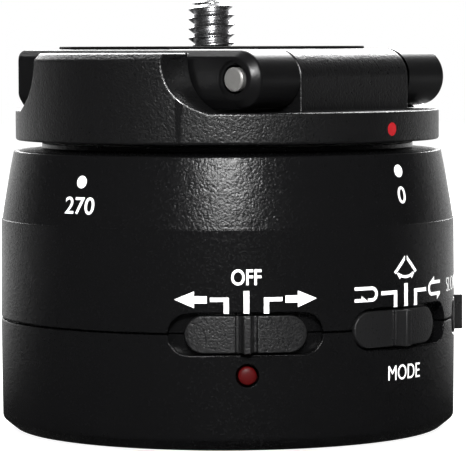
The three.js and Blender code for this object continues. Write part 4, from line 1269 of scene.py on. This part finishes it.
@dataclass
class Printing(Assembly):
    """The white signs and numbers on the shells and the red pointer on the turntable."""

    body: BodySizes = BodySizes()
    film: float = 0.02
    sunk: float = 0.06
    slice_width: float = 0.5
    slope_step: float = 0.05

    def build(self) -> None:
        """Print everything."""
        self.scale()
        self.direction_signs()
        self.mode_signs()
        self.speed_signs()
        self.pointer()

    def wrapped(
        self, name: str, flat: bpy.types.Object, angle: float, height: float,
        stuff: Stuff = Stuff.WHITE_PRINT, body: str = "base", radius: float | None = None,
    ) -> bpy.types.Object:
        """Lay a flat sign round the body as a thin film.

        Args:
            name: the name of the piece.
            flat: the sign, drawn in X and Y about its own centre; it is used up.
            angle: where the sign's centre faces.
            height: the height of its centre.
            stuff: its finish.
            body: the CAD body that it rides on.
            radius: the radius of a plain face, where the body's own face isn't meant.

        Returns:
            The piece.
        """
        work = bmesh.new()
        work.from_mesh(flat.data)
        reach = int(max((abs(v.co.x) for v in work.verts), default=0.0) / MM / self.slice_width)
        for index in range(-reach - 1, reach + 2):
            geometry = work.verts[:] + work.edges[:] + work.faces[:]
            place = (index * self.slice_width * MM, 0, 0)
            bmesh.ops.bisect_plane(work, geom=geometry, plane_co=place, plane_no=(1, 0, 0))
        bottom = bmesh.ops.duplicate(work, geom=work.verts[:] + work.edges[:] + work.faces[:])
        lower = {e for e in bottom["geom"] if isinstance(e, bmesh.types.BMVert)}
        twin = bottom["vert_map"]
        for edge in [e for e in work.edges if e.is_boundary and e.verts[0] not in lower]:
            a, b = edge.verts
            work.faces.new((a, b, twin[b], twin[a]))
        step = self.slope_step
        lean = math.atan2(self.body.surface(height + step) - self.body.surface(height - step), 2 * step)
        for vertex in work.verts:
            across, up = vertex.co.x / MM, vertex.co.y / MM
            if radius is None:
                level = height + up * math.cos(lean)
                face = self.body.surface(level)
            else:
                level = height + up
                face = radius
            r = face + (-self.sunk if vertex in lower else self.film)
            turn = math.radians(angle) + across / face
            vertex.co = Vector((r * math.sin(turn), -r * math.cos(turn), level)) * MM
        bmesh.ops.recalc_face_normals(work, faces=work.faces)
        mesh = bpy.data.meshes.new(name)
        work.to_mesh(mesh)
        work.free()
        bpy.data.objects.remove(flat)
        return self.settle(linked(name, mesh), stuff, body)

    @staticmethod
    def lettering(text: str, cap_height: float, narrow: float, bold: float) -> bpy.types.Object:
        """Draw a word or number about its own centre.

        Args:
            text: what it says.
            cap_height: the height of its capitals.
            narrow: its width as a share of the plain letters.
            bold: how much its strokes are thickened.

        Returns:
            A flat mesh object.
        """
        curve = bpy.data.curves.new(text, "FONT")
        curve.body = text
        curve.align_x = "CENTER"
        curve.align_y = "CENTER"
        curve.resolution_u = 6
        curve.size = cap_height * MM / FONT_CAP_SHARE
        curve.offset = bold * MM
        source = linked(text, curve)
        graph = bpy.context.evaluated_depsgraph_get()
        mesh = bpy.data.meshes.new_from_object(source.evaluated_get(graph))
        bpy.data.objects.remove(source)
        mesh.transform(Matrix.Diagonal((narrow, 1.0, 1.0, 1.0)))
        across, up = ([v.co[axis] for v in mesh.vertices] for axis in (0, 1))
        mesh.transform(Matrix.Translation((-(min(across) + max(across)) / 2, -(min(up) + max(up)) / 2, 0)))
        work = bmesh.new()
        work.from_mesh(mesh)
        bmesh.ops.remove_doubles(work, verts=work.verts, dist=1e-7)
        work.to_mesh(mesh)
        work.free()
        return linked(text, mesh)

    @staticmethod
    def figure(outlines: Sequence[Sequence[Point]]) -> bpy.types.Object:
        """Draw filled outlines in one flat mesh."""
        mesh = bpy.data.meshes.new("figure")
        work = bmesh.new()
        for outline in outlines:
            work.faces.new([work.verts.new((a * MM, b * MM, 0)) for a, b in outline])
        work.normal_update()
        bmesh.ops.triangulate(work, faces=work.faces[:])
        work.to_mesh(mesh)
        work.free()
        return linked("figure", mesh)

    def dot(self, radius: float) -> bpy.types.Object:
        """Draw a round dot."""
        return self.figure([arc((0, 0), radius, 0, 360, 40)[:-1]])

    def scale(self) -> None:
        """Print the quarter-turn numbers and their dots on the taper."""
        for mark in SCALE:
            self.wrapped(f"scale_dot_{mark.text}", self.dot(0.8), mark.angle, mark.dot_height)
            number = self.lettering(mark.text, 2.2, 1.1, 0.03)
            self.wrapped(f"scale_number_{mark.text}", number, mark.angle, mark.number_height)

    @staticmethod
    def arrow(tip: float, side: int) -> list[list[Point]]:
        """Give the outlines of a sign arrow, measured from the switch's middle."""
        half, waist = 1.03, 0.45
        neck, end = side * (tip - 2.5), side * (tip - 4.1)
        return [
            [(side * tip, 0.0), (neck, half), (neck, -half)],
            [(neck, waist), (end, waist), (end, -waist), (neck, -waist)],
        ]

    @staticmethod
    def upright(half: float, low: float, top: float) -> list[Point]:
        """Give the outline of the short line over a switch's middle."""
        return [(-half, low), (half, low), (half, top), (-half, top)]

    @staticmethod
    def brackets(near: float, far: float, top: float, low: float, thick: float) -> list[list[Point]]:
        """Give the outlines of the two angled lines from the signs down to a switch.

        Args:
            near: how far from the middle the upright stretches start.
            far: how far from the middle the level stretches end.
            top: the height of their upper edge.
            low: the height of their lower end.
            thick: the thickness of the upright stretches; the level ones have 0.8 of it.

        Returns:
            Two outlines for each side.
        """
        outlines: list[list[Point]] = []
        under = top - thick * 0.8
        for side in (-1, 1):
            inner, outer, end = side * near, side * (near + thick), side * far
            outlines += [
                [(inner, low), (outer, low), (outer, top), (inner, top)],
                [(outer, under), (end, under), (end, top), (outer, top)],
            ]
        return outlines

    def direction_signs(self) -> None:
        """Print OFF with the two arrows above the direction switch."""
        angle, seam = 4.3, self.body.seam
        word = self.lettering("OFF", 1.98, 0.8, 0.05)
        self.wrapped("sign_off", word, angle, seam + 7.1)
        marks = [self.upright(0.35, 2.6, 5.41), *self.brackets(2.17, 4.5, 4.6, 2.6, 0.64)]
        self.wrapped("sign_direction_lines", self.figure(marks), angle, seam)
        for side, label in ((-1, "left"), (1, "right")):
            pointer = self.figure(self.arrow(8.99, side))
            self.wrapped(f"sign_arrow_{label}", pointer, angle, seam + 4.33)

    def mode_signs(self) -> None:
        """Print the three signs of the mode switch and the word below it."""
        angle, seam = 48.68, self.body.seam
        marks = [self.upright(0.33, 2.66, 5.55), *self.brackets(1.75, 4.6, 4.75, 2.64, 0.6)]
        self.wrapped("sign_mode_lines", self.figure(marks), angle, seam)
        for side, label in ((-1, "left"), (1, "right")):
            self.wrapped(f"sign_return_{label}", self.figure(self.returning(side)), angle, seam + 4.5)
        self.wrapped("sign_sweep", self.figure(self.sweep()), angle, seam + 7.9)
        word = self.lettering("MODE", 1.98, 0.85, 0.0)
        self.wrapped("sign_mode", word, angle - 0.3, seam - 5.68)

    @staticmethod
    def returning(side: int) -> list[list[Point]]:
        """Give the outlines of a sign that comes in, turns back and goes out again."""
        near, far, half, line = 5.2, 8.85, 0.74, 0.21
        stop = 6.8 if side < 0 else far
        high, low = half + line, -half - line
        outer = arc((near + high, 0), high, 90, 270, 12)
        inner = arc((near + high, 0), half - line, 270, 90, 12)
        path = [(far, high), *outer, (stop, low), (stop, line - half), *inner, (far, half - line)]
        if side < 0:
            heads = [[(far, low), (6.74, low), (7.8, 0.54 - half), (7.8, line - half), (far, line - half)]]
        else:
            heads = [
                [(6.9, high - 0.05), (6.9, high + 0.55), (5.9, high - 0.05)],
                [(far, low + 0.05), (far - 1.0, low + 0.05), (far - 1.0, low - 0.55)],
            ]
        return [[(side * a, b) for a, b in outline] for outline in (path, *heads)]

    @staticmethod
    def sweep() -> list[list[Point]]:
        """Give the outlines of a wedge over a curved double arrow, for a sweep to and fro."""
        wedge_left = [(-0.2, 1.15), (-2.3, -0.85), (-1.95, -1.1), (-0.2, 0.6)]
        wedge_right = [(-a, b) for a, b in wedge_left]
        bow_out = arc((0, 1.6), 3.3, 239, 301, 14)
        bow_in = arc((0, 1.6), 2.95, 301, 239, 14)
        left = [(-1.8, -1.0), (-0.9, -1.3), (-1.2, -1.8)]
        right = [(-a, b) for a, b in left]
        return [wedge_left, wedge_right, [*bow_out, *bow_in], left, right]

    def speed_signs(self) -> None:
        """Print the words and line of the speed switch, at the right side."""
        angle, seam = 95.0, self.body.seam
        marks = [self.upright(0.33, 2.9, 5.0), *self.brackets(2.1, 4.65, 5.0, 2.85, 0.64)]
        self.wrapped("sign_speed_lines", self.figure(marks), angle, seam)
        for text, side in (("SLOW", -1), ("FAST", 1)):
            word = self.lettering(text, 2.0, 0.9, -0.07)
            self.wrapped(f"sign_{text.lower()}", word, angle + side * 17.8, seam + 4.6)
        word = self.lettering("SPEED", 1.98, 0.85, 0.0)
        self.wrapped("sign_speed", word, angle, seam - 5.68)

    def pointer(self) -> None:
        """Print the red pointer dot on the rim of the turntable."""
        self.wrapped(
            "pan_pointer", self.dot(0.84), 48.15, 39.66, Stuff.RED_PRINT, "turntable", DISC_RADIUS
        )


# The turntable and what it carries


@dataclass(frozen=True)
class TopSizes:
    """The sizes of the turntable, the platform and their hinge, in millimetres."""

    angle: float = 50.0
    disc_radius: float = DISC_RADIUS
    disc_low: float = 37.95
    disc_top: float = 41.9
    shroud_face: float = 20.4
    shroud_top: float = 49.35
    shroud_bevel: float = 0.9
    shroud_end: float = 10.7
    shroud_foot: float = 16.1
    flare_rate: float = 3.6
    edge: float = 0.3
    hinge_reach: float = 17.8
    hinge_height: float = 46.1
    knuckle: float = 3.7
    knuckle_bevel: float = 1.0
    middle_half: float = 11.2
    notch_half: float = 11.5
    notch_radius: float = 4.2
    half_width: float = 20.0
    pin: float = 1.5
    pin_gap: float = 0.3
    hub_radius: float = 10.3
    groove_inner: float = 12.6
    groove_outer: float = 19.6
    groove_depth: float = 2.1
    platform_radius: float = 27.55
    platform_top: float = 49.8
    platform_foot: float = 42.3
    foot_bevel: float = 1.4
    foot_inset: float = 0.8
    top_round: float = 1.4
    skirt: float = 2.2
    plate_low: float = 46.1
    screw_reach: float = -2.65
    screw_top: float = 56.4
    screw_hole: float = 2.6
    pad_radius: float = 20.2
    pad_hole: float = 3.42
    pad_half_width: float = 18.4
    pad_thickness: float = 0.38
    flange_top: float = 39.8

    def placed(self, item: bpy.types.Object) -> bpy.types.Object:
        """Turn a piece drawn along the hinge's own axes to its place on the head."""
        return faced(item, self.angle)

    def pin_bore(self, reach: float) -> bpy.types.Object:
        """Give the cutter of the hinge pin's bore, with the same reach to both sides."""
        outline = arc((self.hinge_reach, self.hinge_height), self.pin + self.pin_gap, 0, 360, 48)[:-1]
        return drawn_out("bore", outline, Axis.Y, -reach, reach)


@dataclass
class Turntable(Assembly):
    """The turning disc with its side shrouds and the middle knuckle of the hinge."""

    s: TopSizes = TopSizes()

    def build(self) -> None:
        """Build the turntable as one moulding: a turned blank, cut down round the shrouds."""
        s = self.s
        groove = s.disc_low + s.groove_depth
        plate = revolved("turntable_moulding", rounded([
            (0, s.flange_top, 0), (s.hub_radius, s.flange_top, 0.1), (s.hub_radius, s.disc_low, 0.15),
            (s.groove_inner, s.disc_low, 0.15), (s.groove_inner, groove, 0.3),
            (s.groove_outer, groove, 0.3), (s.groove_outer, s.disc_low, 0.15),
            (s.disc_radius, s.disc_low, 0.4), (s.disc_radius, s.shroud_top - s.shroud_bevel, 0.3),
            (s.disc_radius - s.shroud_bevel, s.shroud_top, 0.3), (0, s.shroud_top, 0),
        ], closed=False))
        between = block("between", (-30, 30), (-s.shroud_face, s.shroud_face), (s.disc_top, 60))
        cut(plate, between, self.flank(-1), self.flank(1))
        combined(plate, self.knuckle(), Join.ADD)
        self.settle(s.placed(eased(plate, s.edge)), Stuff.TURNTABLE, "turntable", "turntable")

    def flank(self, side: int) -> bpy.types.Object:
        """Give the cutter that leaves the flared ends of the shrouds at one side.

        Args:
            side: 1 for the side of the hinge, -1 for the other one.

        Returns:
            The cutter.
        """
        s = self.s
        rise = s.shroud_top - s.disc_top
        floor = math.exp(-s.flare_rate)
        outline = []
        for step in range(33):
            share = step / 32
            out = (math.exp(-s.flare_rate * share) - floor) / (1 - floor)
            reach = s.shroud_end + (s.shroud_foot - s.shroud_end) * out
            outline.append((side * reach, s.disc_top + rise * share))
        outline += [(side * s.shroud_end, 60), (side * 31, 60), (side * 31, s.disc_top)]
        return drawn_out("flank", outline, Axis.Y, -31, 31)

    def knuckle(self) -> bpy.types.Object:
        """Build the middle knuckle with its pin bore."""
        s = self.s
        outline = [
            (s.hinge_reach - s.knuckle, 41.5), (s.hinge_reach + s.knuckle, 41.5),
            *arc((s.hinge_reach, s.hinge_height), s.knuckle, 0, 180, 48),
        ]
        return cut(drawn_out("knuckle", outline, Axis.Y, -s.middle_half, s.middle_half), s.pin_bore(13))


@dataclass
class Platform(Assembly):
    """The tilting platform, its pad, its hinge pin and the camera screw, with the body's thread."""

    s: TopSizes = TopSizes()
    body: BodySizes = BodySizes()

    def build(self) -> None:
        """Build the platform's pieces."""
        self.plate()
        self.pad()
        self.pin()
        self.screw()

    def plate(self) -> None:
        """Build the platform plate with its skirt, ribs and outer knuckles."""
        s = self.s
        foot, bevel = s.platform_foot + s.foot_bevel, s.platform_top - s.knuckle_bevel
        foot_half, top_half = s.half_width - s.foot_inset, s.half_width - s.knuckle_bevel
        plan = revolved("platform_plate", rounded([
            (0, s.platform_foot, 0), (s.platform_radius - s.foot_inset, s.platform_foot, 0.3),
            (s.platform_radius, foot, 0.5), (s.platform_radius, s.platform_top, s.top_round),
            (0, s.platform_top, 0),
        ], closed=False))
        section = drawn_out("section", rounded([
            (-foot_half, s.platform_foot, 0.3), (foot_half, s.platform_foot, 0.3),
            (s.half_width, foot, 0.5), (s.half_width, bevel, 0.25),
            (top_half, s.platform_top, 0.25), (-top_half, s.platform_top, 0.25),
            (-s.half_width, bevel, 0.25), (-s.half_width, foot, 0.5),
        ], 6), Axis.X, -30, s.hinge_reach)
        plate = combined(plan, section, Join.KEEP)
        front = s.hinge_reach - s.notch_radius
        wide = (-s.notch_half, s.notch_half)
        under = block("under_hinge", (front, 30), wide, (30, s.hinge_height))
        cut(plate, under, self.hollow(front - s.skirt))
        for rib in self.ribs(front - s.skirt):
            combined(plate, rib, Join.ADD)
        combined(plate, self.barrel(), Join.ADD)
        round_notch = arc((s.hinge_reach, s.hinge_height), s.notch_radius, 0, 360, 72)[:-1]
        notch = drawn_out("notch", round_notch, Axis.Y, *wide)
        gap = block("gap", (s.hinge_reach, 30), wide, (30, 60))
        hole = revolved("hole", [(0, 40), (s.screw_hole, 40), (s.screw_hole, 52), (0, 52)], SMALL_STEPS)
        cut(plate, notch, gap, s.pin_bore(30), shifted(hole, s.screw_reach))
        plate = eased(plate, 0.1, angle=50, clamped=True)
        self.settle(s.placed(plate), Stuff.PLATFORM, "platform", "platform")

    def hollow(self, front: float) -> bpy.types.Object:
        """Build the hollow under the platform.

        Args:
            front: how far the hollow reaches toward the hinge.

        Returns:
            The cutter.
        """
        s = self.s
        radius, side = s.platform_radius - s.skirt, s.half_width - s.skirt
        inside = revolved("hollow", [(0, 40), (radius, 40), (radius, s.plate_low), (0, s.plate_low)])
        return combined(inside, block("limits", (-30, front), (-side, side), (39, 47)), Join.KEEP)

    def ribs(self, front: float) -> list[bpy.types.Object]:
        """Build the stiffening ring and ribs under the plate.

        Args:
            front: how far the ribs reach toward the hinge.

        Returns:
            The ribs.
        """
        s = self.s
        low, high, half, ring = s.plate_low - 2.8, s.plate_low + 0.2, 0.6, 8.2
        hoop = shifted(revolved("hoop", rounded([
            (ring, low, 0.15), (ring + 2 * half, low, 0.15), (ring + 2 * half, high, 0), (ring, high, 0),
        ]), MEDIUM_STEPS), s.screw_reach)
        reach = ring + half
        far = s.platform_radius - s.skirt + 0.4
        side = s.half_width - s.skirt + 0.4
        middle = s.screw_reach
        return [
            hoop,
            block("rib", (-far, middle - reach), (-half, half), (low, high)),
            block("rib", (middle + reach, front + 0.4), (-half, half), (low, high)),
            block("rib", (middle - half, middle + half), (reach, side), (low, high)),
            block("rib", (middle - half, middle + half), (-side, -reach), (low, high)),
        ]

    def barrel(self) -> bpy.types.Object:
        """Build the hinge barrel with its bevelled ends and pin recesses."""
        s = self.s
        end, bevel, recess, eye = s.half_width, s.knuckle_bevel, 0.35, 2.0
        outline = rounded([
            (0, recess - end, 0), (eye, recess - end, 0.05), (eye, -end, 0.08),
            (s.knuckle - bevel, -end, 0.25), (s.knuckle, bevel - end, 0.25),
            (s.knuckle, end - bevel, 0.25), (s.knuckle - bevel, end, 0.25),
            (eye, end, 0.08), (eye, end - recess, 0.05), (0, end - recess, 0),
        ], closed=False)
        bar = revolved("barrel", outline, MEDIUM_STEPS)
        placed(bar, Matrix.Rotation(math.radians(90), 4, "X"))
        return shifted(bar, s.hinge_reach, 0, s.hinge_height)

    def pad(self) -> None:
        """Build the thin friction pad round the camera screw."""
        s = self.s
        top = s.platform_top + s.pad_thickness
        pad = shifted(revolved("friction_pad", rounded([
            (s.pad_hole, s.platform_top, 0.02), (s.pad_radius, s.platform_top, 0.05),
            (s.pad_radius, top, 0.15), (s.pad_hole, top, 0.15),
        ], 4)), s.screw_reach)
        limits = block("limits", (-30, 30), (-s.pad_half_width, s.pad_half_width), (45, 55))
        pad = combined(pad, limits, Join.KEEP)
        self.settle(s.placed(pad), Stuff.RUBBER, "platform", "platform_pad")

    def pin(self) -> None:
        """Build the hinge pin with its turned end faces."""
        s = self.s
        end = s.half_width + 0.2
        rings = [(0.0, 0.0), (0.18, 0.05), (0.36, 0.0), (0.62, 0.03), (0.8, 0.0), (1.02, 0.04), (1.2, 0.0)]
        face = [*rings, (1.34, 0.03), (s.pin, 0.2)]
        outline = [(r, d - end) for r, d in face] + [(r, end - d) for r, d in reversed(face)]
        pin = revolved("hinge_axle", outline, SMALL_STEPS)
        placed(pin, Matrix.Rotation(math.radians(90), 4, "X"))
        s.placed(shifted(pin, s.hinge_reach, 0, s.hinge_height))
        self.settle(pin, Stuff.NICKEL, "platform", "hinge_pin", angle=40)

    def screw(self) -> None:
        """Build the captive camera screw with its thread and slotted head."""
        s, b = self.s, self.body
        start, top = s.platform_top + 0.15, s.screw_top
        head_top = s.plate_low - 0.3
        head_low = head_top - 2.9
        tip_height, tip_radius = 0.9, 1.9
        head, neck = 6.5, 2.3
        rows = 156
        profile = rounded([
            (0, head_low, 0), (head, head_low, 0.35), (head, head_top, 0.35), (neck, head_top, 0.15),
            (neck, start, 0), (b.thread_inner, start, 0),
        ], closed=False)
        profile += [(b.thread_inner, start + (top - start) * row / rows) for row in range(1, rows + 1)]
        profile.append((0, top))

        def fade(height: float) -> float:
            return max(0.0, min(1.0, (height - start) / 0.7))

        thread = thread_ripple(b.thread_outer, b.thread_inner, b.thread_pitch, fade)

        def ripple(turn: float, radius: float, height: float) -> float:
            cone = tip_radius + (b.thread_outer - tip_radius) * (top - height) / tip_height
            crest = thread(turn, radius, height)
            return min(cone, crest) if height > top - tip_height else crest

        screw = revolved("camera_thread", profile, MEDIUM_STEPS, ripple)
        cut(screw, block("slot", (-0.7, 0.7), (-8, 8), (head_low - 1, head_low + 1.4)))
        s.placed(shifted(screw, s.screw_reach))
        self.settle(screw, Stuff.STEEL, "camera_screw", "camera_screw", angle=45)


class Mechanism(Assembly):
    """The inner pieces, whose CAD solids are right as they are and only get their finish."""

    finishes: dict[Stuff, tuple[str, ...]] = {
        Stuff.BOARD: ("circuit_board",),
        Stuff.CHIP: ("control_chip", "direction_switch_lever", "mode_switch_lever", "speed_switch_lever"),
        Stuff.FOIL: ("battery_cell",),
        Stuff.FOAM: ("battery_tape",),
        Stuff.BRASS: ("motor_gearbox", "motor_pinion", "bearing_ball_cage"),
        Stuff.ACETAL: ("motor_bracket", "drive_gear", "glide_ring"),
        Stuff.LED: ("indicator_led",),
        Stuff.STEEL: (
            "motor_can", "motor_shaft", "bearing_outer_race", "bearing_inner_race", "gear_washer", "spindle",
        ),
        Stuff.DARK_STEEL: (
            "bracket_screw_1", "bracket_screw_2", "gear_screw", "spindle_screw_1", "spindle_screw_2",
            "spindle_screw_3", "direction_switch_case", "mode_switch_case", "speed_switch_case",
        ),
    }

    def build(self, nodes: dict[str, bpy.types.Object]) -> None:
        """Dress the inner CAD nodes.

        Args:
            nodes: the CAD nodes by name.
        """
        for stuff, names in self.finishes.items():
            for name in names:
                self.wardrobe.dress(nodes[name], stuff)
        LOG.info("%d inner nodes dressed", sum(len(names) for names in self.finishes.values()))


# The studio

LAMP_AIM = Vector((0, 0, 0.03))


@dataclass(frozen=True)
class Lamp:
    """One soft square lamp that looks at the head."""

    name: str
    place: tuple[float, float, float]
    size: float
    power: float
    mirrored: bool = True

    def hang(self) -> None:
        """Hang the lamp; one that isn't mirrored lights the head without a highlight."""
        data = bpy.data.lights.new(self.name, "AREA")
        data.size = self.size
        data.energy = self.power
        item = linked(self.name, data)
        item.location = self.place
        item.rotation_euler = (LAMP_AIM - item.location).to_track_quat("-Z", "Y").to_euler()
        item.visible_glossy = self.mirrored


@dataclass(frozen=True)
class Studio:
    """The camera, the floor, the lamps and the world."""

    image_width: float = 466.0
    image_height: float = 451.0
    focal_pixels: float = 3140.4
    distance: float = 415.9
    camera_x: float = -0.55
    camera_height: float = 50.81
    horizon_row: float = 43.65
    yaw: float = 0.174
    roll: float = -0.196
    floor_reach: float = 1.6
    lamps: tuple[Lamp, ...] = (
        Lamp("key", (-0.01, -0.61, 0.32), 0.15, 7.0),
        Lamp("fill_left", (-0.5, -0.35, 0.4), 0.4, 1.2, mirrored=False),
        Lamp("fill_right", (0.5, -0.3, 0.4), 0.4, 1.2, mirrored=False),
        Lamp("top", (0.0, 0.5, 0.45), 0.6, 14.0),
    )

    def build(self) -> None:
        """Set up the whole studio."""
        self.camera()
        self.floor()
        for lamp in self.lamps:
            lamp.hang()
        self.world()
        bpy.context.scene.view_settings.view_transform = "Standard"

    def camera(self) -> None:
        """Put the camera where the photograph was taken from."""
        data = bpy.data.cameras.new("camera")
        data.sensor_width = 36.0
        data.lens = self.focal_pixels * data.sensor_width / self.image_width
        data.clip_start = 0.01
        data.clip_end = 20.0
        item = linked("camera", data)
        drop = math.atan((self.image_height / 2 - self.horizon_row) / self.focal_pixels)
        aside = Matrix.Rotation(math.radians(-self.yaw), 4, "Z")
        down = Matrix.Rotation(math.radians(90) - drop, 4, "X")
        turn = down @ Matrix.Rotation(math.radians(self.roll), 4, "Z")
        place = Matrix.Translation((self.camera_x * MM, -self.distance * MM, self.camera_height * MM))
        item.matrix_world = place @ aside @ turn
        bpy.context.scene.camera = item

    def floor(self) -> None:
        """Lay a plain pale floor that shows white to the camera and keeps the shadow."""
        far = self.floor_reach / MM
        corners = [(-far, -far, 0), (far, -far, 0), (far, far, 0), (-far, far, 0)]
        floor = new_object("floor", corners, [[0, 1, 2, 3]])
        material, wiring, shader = shaded("pale_floor")
        place = wiring.add("ShaderNodeTexCoord").outputs["Object"]
        cloud = wiring.add("ShaderNodeTexNoise", {"Vector": place, "Scale": 3.0})
        tone = wiring.add("ShaderNodeValToRGB", {0: cloud.outputs[0]})
        for element, grey in zip(tone.color_ramp.elements, (0.86, 0.9)):
            element.color = (grey, grey, grey, 1)
        wiring.feed(shader, {
            "Roughness": 0.9, "Specular IOR Level": 0.1, "Base Color": tone.outputs[0],
        })
        path = wiring.add("ShaderNodeLightPath").outputs
        glow = wiring.add("ShaderNodeEmission", {"Strength": 1.55})
        share = wiring.add("ShaderNodeMath", {0: path["Is Camera Ray"], 1: 0.6}, operation="MULTIPLY")
        seen = wiring.add("ShaderNodeMixShader", {
            0: share.outputs[0], 1: shader.outputs[0], 2: glow.outputs[0],
        })
        behind = wiring.add("ShaderNodeMapRange", {
            "Value": wiring.add("ShaderNodeSeparateXYZ", {0: place}).outputs["Y"],
            "From Min": 0.02, "From Max": 0.25, "To Min": 0.03, "To Max": 0.9,
        })
        sheen = wiring.add("ShaderNodeEmission", {"Strength": behind.outputs[0]})
        final = wiring.add("ShaderNodeMixShader", {
            0: path["Is Glossy Ray"], 1: seen.outputs[0], 2: sheen.outputs[0],
        })
        wiring.feed(material.node_tree.nodes["Material Output"], {"Surface": final.outputs[0]})
        floor.data.materials.append(material)

    @staticmethod
    def world() -> None:
        """Make a world that is white behind the head and dim in front of it."""
        world = bpy.data.worlds.new("studio")
        bpy.context.scene.world = world
        world.use_nodes = True
        world.node_tree.nodes.clear()
        wiring = Wiring(world.node_tree)
        place = wiring.add("ShaderNodeTexCoord").outputs["Generated"]
        ramp = wiring.add("ShaderNodeMapRange", {
            "Value": wiring.add("ShaderNodeSeparateXYZ", {0: place}).outputs["Y"],
            "From Min": 0.4, "From Max": 1.0, "To Min": 0.03, "To Max": 1.0,
        }, interpolation_type="SMOOTHSTEP")
        path = wiring.add("ShaderNodeLightPath").outputs
        seen = wiring.add("ShaderNodeMath", {
            0: path["Is Camera Ray"], 1: path["Is Transmission Ray"],
        }, operation="MAXIMUM")
        mirrored, plain, dim = (
            wiring.add("ShaderNodeBackground", {"Color": (1, 1, 1, 1), "Strength": strength}).outputs[0]
            for strength in (ramp.outputs[0], 1.0, 0.25)
        )
        glossy = wiring.add("ShaderNodeMixShader", {0: path["Is Glossy Ray"], 1: dim, 2: mirrored})
        final = wiring.add("ShaderNodeMixShader", {0: seen.outputs[0], 1: glossy.outputs[0], 2: plain})
        wiring.add("ShaderNodeOutputWorld", {"Surface": final.outputs[0]})


def main() -> None:
    """Build the looks of the head round its CAD frame."""
    logging.basicConfig(level=logging.INFO, format="%(name)s: %(message)s")
    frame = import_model()
    wardrobe = Wardrobe()
    Studio().build()
    for assembly in (DrumBody, SlideButtons, Printing, Turntable, Platform):
        assembly(wardrobe).build()
    Mechanism(wardrobe).build(frame["nodes"])


if __name__ == "__main__":
    main()
